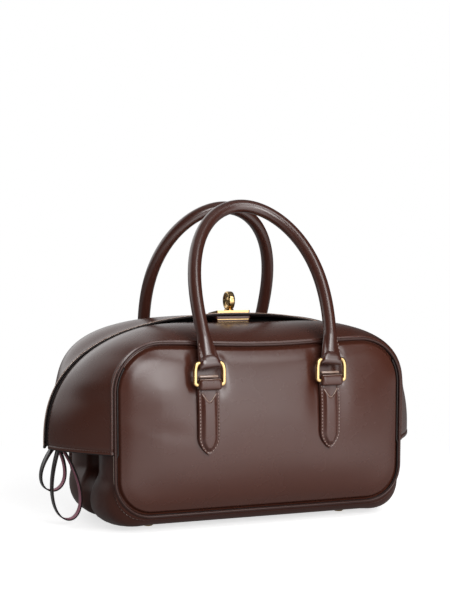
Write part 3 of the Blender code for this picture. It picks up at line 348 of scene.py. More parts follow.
def finish(name, group, values, own):
    """A material whose colour, roughness and normal come from a shader group."""
    made = bpy.data.materials.new(name)
    made.use_nodes = True
    tree = made.node_tree
    shader = tree.nodes["Principled BSDF"]
    placed = node(tree, "ShaderNodeGroup", values, node_tree=group)
    for label, socket in FROM_GROUP.items():
        feed(tree, shader.inputs[socket], placed.outputs[label])
    for label, value in own.items():
        shader.inputs[label].default_value = value
    return made


def leather(name, light, dark, polish, pores=0.06, ripple=0.04, coat=0.0, shine=0.65):
    """A leather from its two tones, its roughness, the depth of its relief and its gloss."""
    values = {"Light": (*light, 1), "Dark": (*dark, 1), "Polish": polish}
    values.update({"Unevenness": 0.08, "Pore Depth": pores, "Ripple Depth": ripple})
    own = {"Specular IOR Level": shine, "Coat Weight": coat, "Coat Roughness": 0.18}
    return finish(name, calf, values, own)


BODY_LEATHER = leather(
    "brown_calf", (0.092, 0.029, 0.018), (0.072, 0.021, 0.013), 0.27, pores=0.03, shine=0.60
)
# The gusset's tones are darker than the body's: painted shade for its pleats under the hoods.
SHADED_GUSSET_LEATHER = leather(
    "gusset_calf_painted_shade", (0.080, 0.026, 0.017), (0.056, 0.017, 0.011), 0.36, pores=0.03, shine=0.25
)
# The cord's tones are darker than the body's: painted shade of the seam's groove.
SHADED_CORD_LEATHER = leather(
    "cord_calf_painted_shade", (0.058, 0.020, 0.014), (0.042, 0.014, 0.010), 0.34, 0.02, 0.02, shine=0.4
)
GRIP_LEATHER = leather(
    "handle_calf", (0.078, 0.024, 0.015), (0.058, 0.016, 0.010), 0.29, 0.02, 0.01, 0.15, 1.0
)
LOOP_LEATHER = leather("dark_strap", (0.020, 0.012, 0.012), (0.012, 0.007, 0.007), 0.34, coat=0.25)
LOOP_INSIDE = leather("pink_strap", (0.56, 0.24, 0.31), (0.50, 0.19, 0.26), 0.55, shine=0.3)
LINING = leather(
    "suede_lining", (0.035, 0.020, 0.018), (0.024, 0.013, 0.012), 0.9, pores=0.4, shine=0.3
)
# Light-coloured edges are painted highlights: the turned edge by the seam, the rear lip, the tabs.
EDGE_HIGHLIGHT = leather(
    "painted_edge_highlight", (0.50, 0.35, 0.28), (0.38, 0.25, 0.19), 0.22, pores=0.02, coat=0.6, shine=1.0
)
EDGE_PAINT = leather(
    "edge_paint", (0.018, 0.009, 0.008), (0.011, 0.006, 0.005), 0.4, pores=0.02, shine=0.3
)
print("leathers", [made.name for made in bpy.data.materials if made != paper])

# %% [markdown]
# ## Thread, tape and board
# Thread is waxed linen, the zip's tape is a fine twill and the base board is pressed fibre. All
# are lines laid side by side, so one group draws slanting bands of a light and a dark tone and
# raises them. Modelled threads would cost thousands of faces that nobody could see.

# %% A shader group for woven and pressed fibres
fibre_inputs = [("Light", "Color"), ("Dark", "Color"), ("Scale", "Float"), ("Roughness", "Float")]
fibre_inputs.append(("Depth", "Float"))
fibres, fibres_in, fibres_out = new_tree(
    "laid_fibres", "ShaderNodeTree", fibre_inputs, FINISH_OUTPUTS
)
given = fibres_in.outputs
where = node(fibres, "ShaderNodeTexCoord").outputs["Object"]
bands = {"Scale": given["Scale"], "Distortion": 0.6, "Vector": where}
bands = node(
    fibres, "ShaderNodeTexWave", bands, wave_type="BANDS", bands_direction="DIAGONAL"
).outputs["Fac"]
tone = blend(fibres, bands, given["Dark"], given["Light"])
rough = plus(fibres, times(fibres, noise(fibres, where, 80.0), 0.2), given["Roughness"])
raised = bump(fibres, bands, given["Depth"], 0.0003).outputs[0]
for label, value in (("Color", tone), ("Roughness", rough), ("Normal", raised)):
    feed(fibres, fibres_out.inputs[label], value)


def fibre(name, light, dark, scale, rough, depth):
    values = {"Light": (*light, 1), "Dark": (*dark, 1), "Scale": scale}
    values.update({"Roughness": rough, "Depth": depth})
    return finish(name, fibres, values, {})


THREAD = fibre("linen_thread", (0.62, 0.48, 0.42), (0.42, 0.30, 0.26), 900.0, 0.5, 0.4)
DARK_THREAD = fibre("dark_thread", (0.10, 0.06, 0.05), (0.05, 0.03, 0.025), 900.0, 0.5, 0.4)
TAPE = fibre("zip_tape", (0.035, 0.030, 0.030), (0.014, 0.012, 0.012), 420.0, 0.7, 0.6)
BOARD = fibre("fibre_board", (0.12, 0.095, 0.075), (0.09, 0.07, 0.055), 90.0, 0.7, 0.2)
print("fibre group sockets", len(fibres.interface.items_tree))

# %% [markdown]
# ## Gold
# The metal is pale polished gold. Plain metal would look like plastic film, so its tone changes
# slowly, as where fingers have rubbed it, and its polish has very fine scuffs.

# %% Gold
GOLD_TONES = (0.66, 0.46, 0.22, 1), (0.56, 0.37, 0.16, 1)
GOLD_POLISH = 0.13
SCUFF_SHARE = 0.05
GOLD = bpy.data.materials.new("pale_gold")
GOLD.use_nodes = True
tree = GOLD.node_tree
shader = tree.nodes["Principled BSDF"]
where = node(tree, "ShaderNodeTexCoord").outputs["Object"]
scuffs = times(tree, noise(tree, where, 600.0, 6.0, 0.7), SCUFF_SHARE)
dents = bump(tree, noise(tree, where, 400.0, 2.0), 0.01, 0.00005)
feed(tree, shader.inputs["Base Color"], blend(tree, noise(tree, where, 40.0), *GOLD_TONES))
feed(tree, shader.inputs["Roughness"], plus(tree, scuffs, GOLD_POLISH))
feed(tree, shader.inputs["Normal"], dents.outputs[0])
shader.inputs["Metallic"].default_value = 1.0
print("materials", len(bpy.data.materials))

# %% [markdown]
# ## Skins
# A skin is a sheet of leather: an outer face, an inner face and an edge that is rounded between
# them. A Solidify modifier gives a sheet a thickness too, but with square edges, and a rounded cut
# edge is what catches the light on real leather. So skins are built point by point from the grid
# of their outer face, and each of the three parts carries its own finish.

# %% Meshes and grids


def mesh_piece(name, points, faces, finishes, kinds=None):
    """A smooth mesh object whose faces point outwards; kinds picks a finish for each face."""
    mesh = bpy.data.meshes.new(name)
    mesh.from_pydata([tuple(float(v) for v in p) for p in points], [], faces)
    for material in finishes:
        mesh.materials.append(material)
    if kinds is not None:
        mesh.polygons.foreach_set("material_index", kinds)
    build = bmesh.new()
    build.from_mesh(mesh)
    bmesh.ops.recalc_face_normals(build, faces=build.faces)
    build.to_mesh(mesh)
    build.free()
    mesh.shade_smooth()
    return put(name, mesh)


def dress(piece, body, slot, *nodes):
    """Lets a piece ride on its body, and stand for nodes of the frame."""
    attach(piece, body)
    if nodes:
        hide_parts(*nodes)
    return piece


def quads(rows, columns, start=0, wrap=False):
    """Four-sided faces between the points of a grid; wrap joins its last column to its first."""
    faces = []
    for row in range(rows - 1):
        for column in range(columns if wrap else columns - 1):
            after = (column + 1) % columns
            low = start + row * columns
            high = low + columns
            faces.append((low + column, low + after, high + after, high + column))
    return faces


def unit(vectors):
    return vectors / np.maximum(np.linalg.norm(vectors, axis=-1, keepdims=True), 1e-12)


def face_normals(grid):
    return unit(np.cross(np.gradient(grid, axis=0), np.gradient(grid, axis=1)))


print("a grid of 3 by 4 points has", len(quads(3, 4)), "faces")

# %% Skins


def border(rows, columns):
    """Indices of a grid's edge points in order round the grid."""
    run = [(r, 0) for r in range(rows)]
    run += [(rows - 1, c) for c in range(1, columns)]
    run += [(r, columns - 1) for r in range(rows - 2, -1, -1)]
    run += [(0, c) for c in range(columns - 2, 0, -1)]
    return run


def way_off(grid, normal, r, c):
    """The direction that leads off a grid at one of its edge points, in the grid's own face."""
    rows, columns = grid.shape[:2]
    out = np.zeros(3)
    if r == 0:
        out += unit(grid[0, c] - grid[1, c])
    if r == rows - 1:
        out += unit(grid[r, c] - grid[r - 1, c])
    if c == 0:
        out += unit(grid[r, 0] - grid[r, 1])
    if c == columns - 1:
        out += unit(grid[r, c] - grid[r, c - 1])
    out -= normal[r, c] * np.dot(out, normal[r, c])
    return unit(out)


def skin(name, outer, turn, thickness, finishes, edge_steps=4):
    """A sheet with a rounded edge; turn is +1 or -1, for the side that its outer face looks to."""
    rows, columns = outer.shape[:2]
    count = rows * columns
    normal = turn * face_normals(outer)
    inner = outer - thickness * normal
    run = border(rows, columns)
    away = [way_off(outer, normal, r, c) for r, c in run]
    points = list(outer.reshape(-1, 3)) + list(inner.reshape(-1, 3))
    layers = [[r * columns + c for r, c in run]]
    for step in range(1, edge_steps):
        angle = pi * step / edge_steps
        layers.append([len(points) + k for k in range(len(run))])
        for (r, c), out in zip(run, away):
            middle = outer[r, c] - normal[r, c] * thickness / 2
            points.append(middle + (normal[r, c] * cos(angle) + out * sin(angle)) * thickness / 2)
    layers.append([count + r * columns + c for r, c in run])
    outside = quads(rows, columns)
    inside = quads(rows, columns, count)
    edge = []
    for low, high in zip(layers, layers[1:]):
        for k in range(len(run)):
            after = (k + 1) % len(run)
            edge.append((low[k], low[after], high[after], high[k]))
    kinds = [0] * len(outside) + [2] * len(inside) + [1] * len(edge)
    return mesh_piece(name, points, outside + inside + edge, finishes, kinds)


print("a border of 3 by 4 points has", len(border(3, 4)), "points")

# %% [markdown]
# ## Tubes and turned pieces
# Piping, handles and rings are round bars that follow a path, and studs and knobs are profiles
# turned on a lathe. Blender's curves can be given a bevel for this, but here the section changes
# along the way, from round to nearly square, so its points are worked out ring by ring.

# %% Tubes


def squared(values, power):
    """Sines or cosines bent so that a section turns squarer as the power grows past 2."""
    return np.sign(values) * np.abs(values) ** (2 / power)


def closed_ends(rows, sides):
    """Faces of a run of rings with a face over each end."""
    last = (rows - 1) * sides
    ends = [tuple(range(sides)), tuple(range(last, last + sides))]
    return quads(rows, sides, 0, True) + ends


def tube(name, path, side, radii, material, sides=20, closed=False, powers=2.0):
    """A tube through a path; side is never along the path."""
    path = np.asarray(path, float)
    if closed:
        along = unit(np.roll(path, -1, axis=0) - np.roll(path, 1, axis=0))
    else:
        along = unit(np.gradient(path, axis=0))
    side = np.asarray(side, float)
    across = unit(side - along * (along @ side)[:, None])
    deep = np.cross(along, across)
    radii = np.broadcast_to(np.asarray(radii, float), (len(path),))
    powers = np.broadcast_to(np.asarray(powers, float), (len(path),))
    turn = 2 * pi * np.arange(sides) / sides
    points = []
    for centre, a, b, radius, power in zip(path, across, deep, radii, powers):
        wide = squared(np.cos(turn), power)
        thick = squared(np.sin(turn), power)
        points.extend(centre + radius * (wide[:, None] * a + thick[:, None] * b))
    if closed:
        faces = quads(len(path), sides, 0, True)
        last = (len(path) - 1) * sides
        for k in range(sides):
            after = (k + 1) % sides
            faces.append((last + k, last + after, after, k))
    else:
        faces = closed_ends(len(path), sides)
    return mesh_piece(name, points, faces, [material])


print("half way to square,", np.round(squared(np.array([0.0, 0.5, 1.0]), 3.0), 3))

# %% Turned pieces


def turned(name, profile, place, turn, material, sides=48):
    """A profile of (radius, height) turned about its height axis, closed at both ends."""
    points = []
    for radius, height in profile:
        for k in range(sides):
            angle = 2 * pi * k / sides
            spoke = Vector((radius * cos(angle), radius * sin(angle), height))
            points.append(Vector(place) + turn @ spoke)
    return mesh_piece(name, points, closed_ends(len(profile), sides), [material])


def both_ways(half):
    """A profile whose second half mirrors its first."""
    return half + [(radius, -height) for radius, height in half[::-1]]


print("half a profile of 3 points makes", len(both_ways([(1.0, 0.5)] * 3)), "points")

# %% [markdown]
# Hard pieces have edges that are a little rounded, and each shows as a thin line of light. A Bevel
# modifier rounds them, and its result is kept as a plain mesh, so that nothing is left to work out.

# %% Bevels


def bake(piece):
    """Turns what the modifiers make into a plain mesh."""
    shown = piece.evaluated_get(bpy.context.evaluated_depsgraph_get())
    mesh = bpy.data.meshes.new_from_object(shown)
    piece.modifiers.clear()
    old = piece.data
    piece.data = mesh
    bpy.data.meshes.remove(old)
    return piece


def crease_edges(piece, width, segments):
    """Rounds the sharp edges of a hard piece and leaves it a plain mesh."""
    rounding = piece.modifiers.new("round_edges", "BEVEL")
    rounding.width = width
    rounding.segments = segments
    rounding.limit_method = "ANGLE"
    rounding.angle_limit = radians(40.0)
    rounding.harden_normals = True
    return bake(piece)


print("helpers made:", bake.__name__, crease_edges.__name__)

# %% [markdown]
# ## Rows that follow a path
# Stitches and zip teeth are small pieces laid at even steps along a line. Copying them one by one
# would fill the script, so a Geometry Nodes tree does it: it turns a line into points, sets the
# same shape on each point, turned along the line, and makes all of it one plain mesh.

# %% A tree that lays a row


def row_tree(name, inputs, smooth):
    """A tree that lays copies of one small shape at even steps along paths."""
    sockets = [("Geometry", "Geometry")] + inputs + [("Material", "Material")]
    tree, start, end = new_tree(name, "GeometryNodeTree", sockets, [("Geometry", "Geometry")])
    curve = node(tree, "GeometryNodeMeshToCurve", {"Mesh": start.outputs["Geometry"]}).outputs[0]
    steps = {"Curve": curve, "Length": start.outputs["Pitch"]}
    steps = node(tree, "GeometryNodeCurveToPoints", steps, mode="LENGTH").outputs
    turn = {"Vector": steps["Tangent"]}
    turn = node(tree, "FunctionNodeAlignRotationToVector", turn, axis="Z").outputs["Rotation"]
    place = {"Points": steps["Points"], "Rotation": turn}
    place = node(tree, "GeometryNodeInstanceOnPoints", place)
    shown = node(tree, "GeometryNodeRealizeInstances", {"Geometry": place.outputs[0]}).outputs[0]
    if smooth:
        shown = node(tree, "GeometryNodeSetShadeSmooth", {"Geometry": shown}).outputs[0]
    shown = {"Geometry": shown, "Material": start.outputs["Material"]}
    shown = node(tree, "GeometryNodeSetMaterial", shown).outputs[0]
    feed(tree, end.inputs["Geometry"], shown)
    return tree, start, place


def run_tree(name, group, paths, values):
    """Runs a Geometry Nodes tree on open paths and returns a plain mesh object."""
    points = []
    edges = []
    for run in paths:
        first = len(points)
        points += [tuple(float(v) for v in p) for p in run]
        edges += [(first + k, first + k + 1) for k in range(len(run) - 1)]
    mesh = bpy.data.meshes.new(name)
    mesh.from_pydata(points, edges, [])
    piece = put(name, mesh)
    modifier = piece.modifiers.new(name, "NODES")
    modifier.node_group = group
    for item in group.interface.items_tree:
        if item.in_out == "INPUT" and item.name in values:
            modifier[item.identifier] = values[item.name]
    return bake(piece)


print("helpers made:", row_tree.__name__, run_tree.__name__)

# %% [markdown]
# ## Stitches
# A stitch is a short length of thread between two holes. A ball with few faces, pulled long and
# thin like a seed, is enough for it, because hundreds of them follow the seams. Their sizes differ
# a little, as hand-pulled stitches do, with a fixed seed.

# %% Stitches
SMALLEST_STITCH = 0.90
LARGEST_STITCH = 1.06
stitch_inputs = [
    ("Pitch", "Float", 0.0030),
    ("Stitch Length", "Float", 0.0022),
    ("Thread", "Float", 0.00055),
    ("Seed", "Int", 7),
]
sewing, sew_in, sew_place = row_tree("sew_along_paths", stitch_inputs, smooth=True)
given = sew_in.outputs
ball = {"Segments": 6, "Rings": 5, "Radius": 0.5}
ball = node(sewing, "GeometryNodeMeshUVSphere", ball).outputs["Mesh"]
size = {"X": given["Thread"], "Y": given["Thread"], "Z": given["Stitch Length"]}
size = node(sewing, "ShaderNodeCombineXYZ", size).outputs[0]
seed_shape = node(sewing, "GeometryNodeTransform", {"Geometry": ball, "Scale": size}).outputs[0]
vary = node(sewing, "FunctionNodeRandomValue", data_type="FLOAT")
for key, value in ((2, SMALLEST_STITCH), (3, LARGEST_STITCH), ("Seed", given["Seed"])):
    feed(sewing, vary.inputs[key], value)
feed(sewing, sew_place.inputs["Instance"], seed_shape)
feed(sewing, sew_place.inputs["Scale"], vary.outputs[1])
BALL_FACES = 30


def stitch(name, paths, body, slot, material=THREAD, pitch=0.0030, length=0.0022, thread=0.00055):
    values = {"Pitch": pitch, "Stitch Length": length, "Thread": thread, "Material": material}
    piece = run_tree(name, sewing, paths, values)
    print(name, "stitches", len(piece.data.polygons) // BALL_FACES)
    return dress(piece, body, slot)


print("sewing tree", len(sewing.nodes), "nodes")

# %% [markdown]
# ## Outlines
# Front and rear panels are rounded rectangles that swell outwards like a cushion. The seam's line
# is needed again and again, so it is worked out once as a smooth run of points, each with the
# direction that points away from the panel. A drawn curve would do, but a formula also says how
# deep the panel is at any place, and everything sewn on it needs that.

# %% The swell of a panel
CROWN = 0.0150
CROWN_POWER_X = 2.8
CROWN_POWER_Z = 2.4
TOP_SAG = 0.0035
SAG_HALF_SPAN = 0.1050


def smooth_step(value):
    value = np.clip(value, 0, 1)
    return value * value * (3 - 2 * value)


def swell(x, z):
    """How far a panel stands past the plane of its seam."""
    across = np.minimum(1.0, np.abs(x) / HALF_LENGTH) ** CROWN_POWER_X
    upright = np.minimum(1.0, np.abs(z - MID_HEIGHT) / HALF_HEIGHT) ** CROWN_POWER_Z
    return CROWN * (1 - across) * (1 - upright)


def sag(x, z):
    """The height of a point once the panel's upper edge has sunk in its middle."""
    share = np.maximum(0.0, 1 - (x / SAG_HALF_SPAN) ** 2) ** 2
    return z - TOP_SAG * share * np.maximum(0.0, (z - MID_HEIGHT) / HALF_HEIGHT)


print("a panel's middle stands out by", round(float(swell(0.0, MID_HEIGHT)), 4))

# %% The seam line


def arc(hand, top, steps):
    """Points round one corner from the side towards the middle: x, z and the way out."""
    radius = TOP_CORNER if top else BASE_CORNER
    height = SEAM_HIGH - radius if top else SEAM_LOW + radius
    angle = np.linspace(0, pi / 2, steps + 1)
    out_x = hand * np.cos(angle)
    out_z = (1 if top else -1) * np.sin(angle)
    x = hand * (HALF_LENGTH - radius) + radius * out_x
    return np.stack([x, height + radius * out_z, out_x, out_z], axis=1)


def line(start, end, steps):
    """Points between two others, which it leaves out."""
    share = np.linspace(0, 1, steps + 1)[1:-1, None]
    run = start + (end - start) * share
    run[:, 2:] = start[2:]
    return run


def seam_loop():
    """The whole seam, clockwise from the left side's top corner."""
    arcs = [arc(-1, True, 20), arc(1, True, 20)[::-1], arc(1, False, 20), arc(-1, False, 20)[::-1]]
    run = []
    for corner, following, steps in zip(arcs, arcs[1:] + arcs[:1], (60, 24, 60, 24)):
        run += [corner, line(corner[-1], following[0], steps)]
    loop = np.concatenate(run)
    loop[:, 1] = sag(loop[:, 0], loop[:, 1])
    return loop


def run_length(points):
    """Length along a run of points, up to each of them."""
    return np.concatenate(([0.0], np.cumsum(np.linalg.norm(np.diff(points, axis=0), axis=1))))


def read_run(points, length, wanted):
    """The points of a run at the wanted lengths along it."""
    columns = [np.interp(wanted, length, points[:, k]) for k in range(points.shape[1])]
    return np.stack(columns, axis=1)


def resample(run, shares):
    """Reads a run of points at shares of its length; the way out stays of length one."""
    length = run_length(run[:, :2])
    result = read_run(run, length / length[-1], shares)
    result[:, 2:] = unit(result[:, 2:])
    return result


seam = seam_loop()
print("seam points", len(seam))

# %% [markdown]
# ## Front and rear panels
# Each panel is padded: it rises from the seam with a tight roll, then swells slowly. Soft leather
# is never quite even, so the face has shallow waves and a fold at its lower left. It is drawn in
# behind each ring and round the tabs, where the stitching pulls at the padding. Sculpting could
# give all this, but heights in a formula can be changed one at a time.

# %% Humps, rim and waves


def hump(distance, place, width, power=2):
    """A smooth hump of height one at a place; a higher power makes its top flatter."""
    return np.exp(-((distance - place) / width) ** power)


def rim_distance(x, z):
    """Distance inside the seam's outline, less than nothing outside it."""
    result = np.full(np.broadcast(x, z).shape, -1.0)
    dx = HALF_LENGTH - np.abs(x)
    for top, radius in ((True, TOP_CORNER), (False, BASE_CORNER)):
        dz = SEAM_HIGH - z if top else z - SEAM_LOW
        here = z >= MID_HEIGHT if top else z < MID_HEIGHT
        corner = radius - np.hypot(np.maximum(radius - dx, 0), np.maximum(radius - dz, 0))
        value = np.where((dx < radius) & (dz < radius), corner, np.minimum(dx, dz))
        result = np.where(here, value, result)
    return result


def waves(x, z, seed):
    """Shallow uneven waves, from minus one to one."""
    rng = np.random.default_rng(seed)
    total = np.zeros(np.broadcast(x, z).shape)
    for _ in range(7):
        ax, az = rng.uniform(-55, 55, 2)
        total = total + np.sin(ax * x + az * z + rng.uniform(0, 2 * pi))
    return total / 7


print("rim distance at the middle", rim_distance(np.array([0.0]), np.array([MID_HEIGHT])))

# %% The relief of a panel
RING_X = 0.0622
RIM_INSET = 0.0014
RIM_SINK = 0.0026
SHOULDER_SINK = 0.0024
WAVE_HEIGHT = 0.0014
FOLD_DEPTH = 0.0009
RING_DENT = 0.0022
TAB_PULL = 0.0011
PULL_FROM = 0.0108


def panel_relief(x, z, seed):
    """Height added to the plain swell."""
    inside = rim_distance(x, z) - RIM_INSET
    height = -RIM_SINK * (1 - smooth_step((inside - 0.0012) / 0.0030))
    height = height - SHOULDER_SINK * hump(inside, 0, 0.0085)
    fade = np.clip(inside / 0.04, 0, 1) ** 2
    height = height + WAVE_HEIGHT * fade * waves(x, z, seed)
    fold = hump(z - 0.0990 + 0.20 * (x + 0.1120), 0, 0.0080) * hump(x, -0.1080, 0.0260)
    height = height - FOLD_DEPTH * fold
    for hand in HANDS:
        beside = np.abs(x - hand * RING_X)
        behind_ring = 1 - smooth_step((beside - 0.0125) / 0.0085)
        height = height - RING_DENT * behind_ring * hump(z, 0.150, 0.018, 4)
        pull = hump(beside, PULL_FROM, 0.010) * (beside > PULL_FROM) + (beside <= PULL_FROM)
        height = height - TAB_PULL * pull * hump(z, 0.128, 0.030)
    return height


print("relief beside a ring", np.round(panel_relief(np.array([RING_X]), np.array([0.15]), 4), 5))

# %% Panels


def panel_face(x, z):
    return HALF_DEPTH + LEATHER / 2 + swell(x, z)


def make_panel(side):
    """A panel whose points lie closer together near its rim."""
    rows, columns = 130, 200
    v = -np.cos(np.linspace(0, pi, rows))[:, None]
    z = MID_HEIGHT + (HALF_HEIGHT - RIM_INSET) * v
    top = z > MID_HEIGHT
    radius = np.where(top, TOP_CORNER, BASE_CORNER) - RIM_INSET
    reach = np.where(top, SEAM_HIGH - RIM_INSET - z, z - SEAM_LOW - RIM_INSET)
    rise = np.clip(radius - reach, 0, None)
    half = HALF_LENGTH - RIM_INSET - radius + np.sqrt(np.clip(radius ** 2 - rise ** 2, 0, None))
    x = half * np.sin(np.linspace(-pi / 2, pi / 2, columns))[None, :]
    z = np.broadcast_to(z, x.shape)
    y = panel_face(x, sag(x, z)) + panel_relief(x, z, 4 + side)
    grid = np.stack([x, side * y, sag(x, z)], axis=2)
    name = SIDES[side] + "_panel"
    piece = skin(name + "_skin", grid, side, SKIN, [BODY_LEATHER, BODY_LEATHER, LINING])
    return dress(piece, "bag_body", name, name)


for side in SIDES:
    panel = make_panel(side)
    print(panel.name, len(panel.data.polygons), "faces")

# %% [markdown]
# ## Piping
# The seam holds a thin cord wrapped in leather; its darker tone is painted shade of the seam's
# groove. Beside it, the edge of the next piece of leather is turned and stands up as a second,
# finer line, coloured light as a painted highlight. Both follow the seam's own points, so two thin
# tubes along that line make them.

# %% Piping
CORD_RADIUS = 0.0014
CORD_SHOWN = 0.0013
CORD_BACK = 0.0004
EDGE_RADIUS = 0.00042
EDGE_BACK = 0.0032


def beside_seam(side, outward, back):
    """The seam's line, moved outwards from the panel and back from its face."""
    depth = side * (HALF_DEPTH - back + swell(seam[:, 0], seam[:, 1]))
    x = seam[:, 0] + outward * seam[:, 2]
    return np.stack([x, depth, seam[:, 1] + outward * seam[:, 3]], axis=1)


edge_stand = 0.0008 + 0.0010 * smooth_step((seam[:, 1] - HEM_HEIGHT) / 0.0040)
for side in SIDES:
    name = SIDES[side]
    path = beside_seam(side, 0.0, CORD_BACK)
    cord = tube(name + "_cord", path, (0, 1, 0), CORD_SHOWN, SHADED_CORD_LEATHER, 14, True)
    dress(cord, "bag_body", name + "_piping", name + "_piping")
    path = beside_seam(side, edge_stand, EDGE_BACK)
    edge = tube(name + "_turned_edge_highlight", path, (0, 1, 0), EDGE_RADIUS, EDGE_HIGHLIGHT, 8, True)
    dress(edge, "bag_body", name + "_top_panel")
    print(cord.name, len(cord.data.vertices), "points")

# %% [markdown]
# ## The domed top
# Two skins make the top. Each starts at the mouth, where its edge is turned and stitched, falls to
# the seam in a full curve, and runs on past the end of the bag as a hood with a folded hem. Over
# the middle the skins are domed; towards the hems they are pulled straight, like a tent. Each is
# one grid between two lines, the ridge and the seam, because a single sheet of leather has no
# breaks where the top becomes the hood.

# %% The ridge and the seam under it
RIDGE_HALF_LENGTH = 0.1924
RIDGE_TOP = 0.1965
RIDGE_POWER = 2.55


def hood_run():
    """The seam from the left hem over the top to the right hem."""
    left = arc(-1, True, 40)
    right = arc(1, True, 40)[::-1]
    hem_left = np.array([-HALF_LENGTH, HEM_HEIGHT, -1.0, 0.0])
    hem_right = np.array([HALF_LENGTH, HEM_HEIGHT, 1.0, 0.0])
    run = [hem_left[None], line(hem_left, left[0], 30), left, line(left[-1], right[0], 80), right]
    run += [line(right[-1], hem_right, 30), hem_right[None]]
    run = np.concatenate(run)
    run[:, 1] = sag(run[:, 0], run[:, 1])
    return run


def ridge_run():
    """The top's highest line, from hem to hem: half of a squarish oval."""
    angle = pi * (1 - np.linspace(0, 1, 1441))
    x = RIDGE_HALF_LENGTH * squared(np.cos(angle), RIDGE_POWER)
    z = HEM_HEIGHT + (RIDGE_TOP - HEM_HEIGHT) * squared(np.sin(angle), RIDGE_POWER)
    run = unit(np.gradient(np.stack([x, z], axis=1), axis=0))
    return np.stack([x, z, -run[:, 1], run[:, 0]], axis=1)


HOOD = hood_run()
RIDGE = ridge_run()
print("ridge", round(run_length(RIDGE[:, :2])[-1], 3), "m long")

# %% The surface of the top
MOUTH_HALF_SPAN = 0.1100
LIP_GAP = 0.0016
FRONT_LIP_IN = 0.0016
FRONT_LIP_OPEN = 0.0031
FRONT_LIP_DROP = 0.0050
REAR_LIP_OPEN = 0.0023
REAR_LIP_RISE = 0.0020
TOP_SWELL = {FRONT: 0.0056, REAR: 0.0080}
TOP_POWER = 2.0
LOCK_FLAT = 0.7
HOOD_SWELL = 0.0008
HOOD_POWER = 1.43
HOOD_FLAT_BELOW = 0.1230
HOOD_FULL_ABOVE = 0.1700


def mouth(x):
    """How open the mouth is: one at the lock, nothing at the ends of the span."""
    return np.maximum(0.0, 1 - (x / MOUTH_HALF_SPAN) ** 2) ** 2


def top_surface(side, along, across, seam_back=CORD_RADIUS, inward=0.0):
    """Points of a top skin; along runs from hem to hem, across from the lip to the seam."""
    edge = resample(HOOD, along)
    ridge = resample(RIDGE, along)
    open_share = mouth(ridge[:, 0])
    if side == FRONT:
        lip_y = -LIP_GAP / 2 - FRONT_LIP_IN - FRONT_LIP_OPEN * open_share
        lip_z = ridge[:, 1] - FRONT_LIP_DROP * open_share
    else:
        lip_y = LIP_GAP / 2 - REAR_LIP_OPEN * open_share
        lip_z = ridge[:, 1] + REAR_LIP_RISE * open_share
    seam_x = edge[:, 0] + edge[:, 2] * LEATHER / 2
    seam_z = edge[:, 1] + edge[:, 3] * LEATHER / 2
    seam_y = side * (HALF_DEPTH + swell(edge[:, 0], edge[:, 1]) - seam_back)
    out = unit(ridge[:, 2:] + edge[:, 2:])
    s = np.asarray(across)[None, :]
    hood = smooth_step((HOOD_FULL_ABOVE - ridge[:, 1:2]) / (HOOD_FULL_ABOVE - HOOD_FLAT_BELOW))
    full = TOP_SWELL[side] + (HOOD_SWELL - TOP_SWELL[side]) * hood
    lift = full * (1 - LOCK_FLAT * open_share)[:, None] * np.sin(pi * s) - inward
    fall = s ** (TOP_POWER + (HOOD_POWER - TOP_POWER) * hood)
    x = ridge[:, :1] + (seam_x[:, None] - ridge[:, :1]) * fall + out[:, :1] * lift
    y = lip_y[:, None] + (seam_y - lip_y)[:, None] * s
    z = lip_z[:, None] + (seam_z - lip_z)[:, None] * fall + out[:, 1:] * lift
    return np.stack([x, y, z], axis=2)


print("mouth open by", round(LIP_GAP + FRONT_LIP_IN + FRONT_LIP_OPEN - REAR_LIP_OPEN, 4), "m")

# %% [markdown]
# The lips close like an overlap: the front one dips under and the rear one lies over it. A tube
# along each lip draws its cut edge: the rear one is coloured light as a painted highlight, and the
# front one is a thick dark tube that is both its dark edge paint and painted shade of the gap
# between the lips.

# %% Lip edges
LIP_LINES = (
    # side, name, how far out from the ridge, how far forward, radius, material, sides
    (REAR, "rear_lip_edge_highlight", 0.0021, 0.0004, 0.00055, EDGE_HIGHLIGHT, 8),
    (FRONT, "front_lip_edge_and_shade", -0.0009, 0.0, 0.0012, EDGE_PAINT, 12),
)
along = np.linspace(0.004, 0.996, 420)
outward = unit(resample(RIDGE, along)[:, 2:])
outward = np.stack([outward[:, 0], 0 * outward[:, 0], outward[:, 1]], axis=1)
for side, name, out, forward, radius, material, sides in LIP_LINES:
    lip = top_surface(side, along, np.array([0.0, 0.004]))[:, 0]
    lip = lip + out * outward - (0, forward, 0)
    edge = tube(name, lip, (0, 1, 0), radius, material, sides)
    dress(edge, "bag_body", SIDES[side] + "_top_panel")
    print(edge.name, len(edge.data.polygons), "faces")

# %% [markdown]
# Rolled edges, grooves and the raised line along the seam are heights added along the skin's own
# normal. A bevel or a bump map can't do this: the lines are real folds and show in the outline. So
# the rows of points lie closer together where these lines run.

# %% Relief of the top
TOP_RUN = 0.62
TOP_FALL = 0.085
SOFT_STEP = 0.0003
LIP_SEAM = 0.0031
HEM_SEAM = 0.0030
STITCH_STAND = 0.00012
EVEN_BELOW = 0.02


def crowded(length, edge, fine, middle):
    """Shares from 0 to 1 that lie close together near both ends."""
    near = np.arange(0, edge, fine)
    inner = np.linspace(edge, length - edge, middle)
    return np.concatenate([near, inner, length - near[::-1]]) / length


def groove(distance, place, depth, width):
    return -depth * hump(distance, place, width)


def step_down(distance, place, height):
    """A height that holds from the edge as far as a place, then falls away."""
    return height / (1 + np.exp((distance - place) / SOFT_STEP))


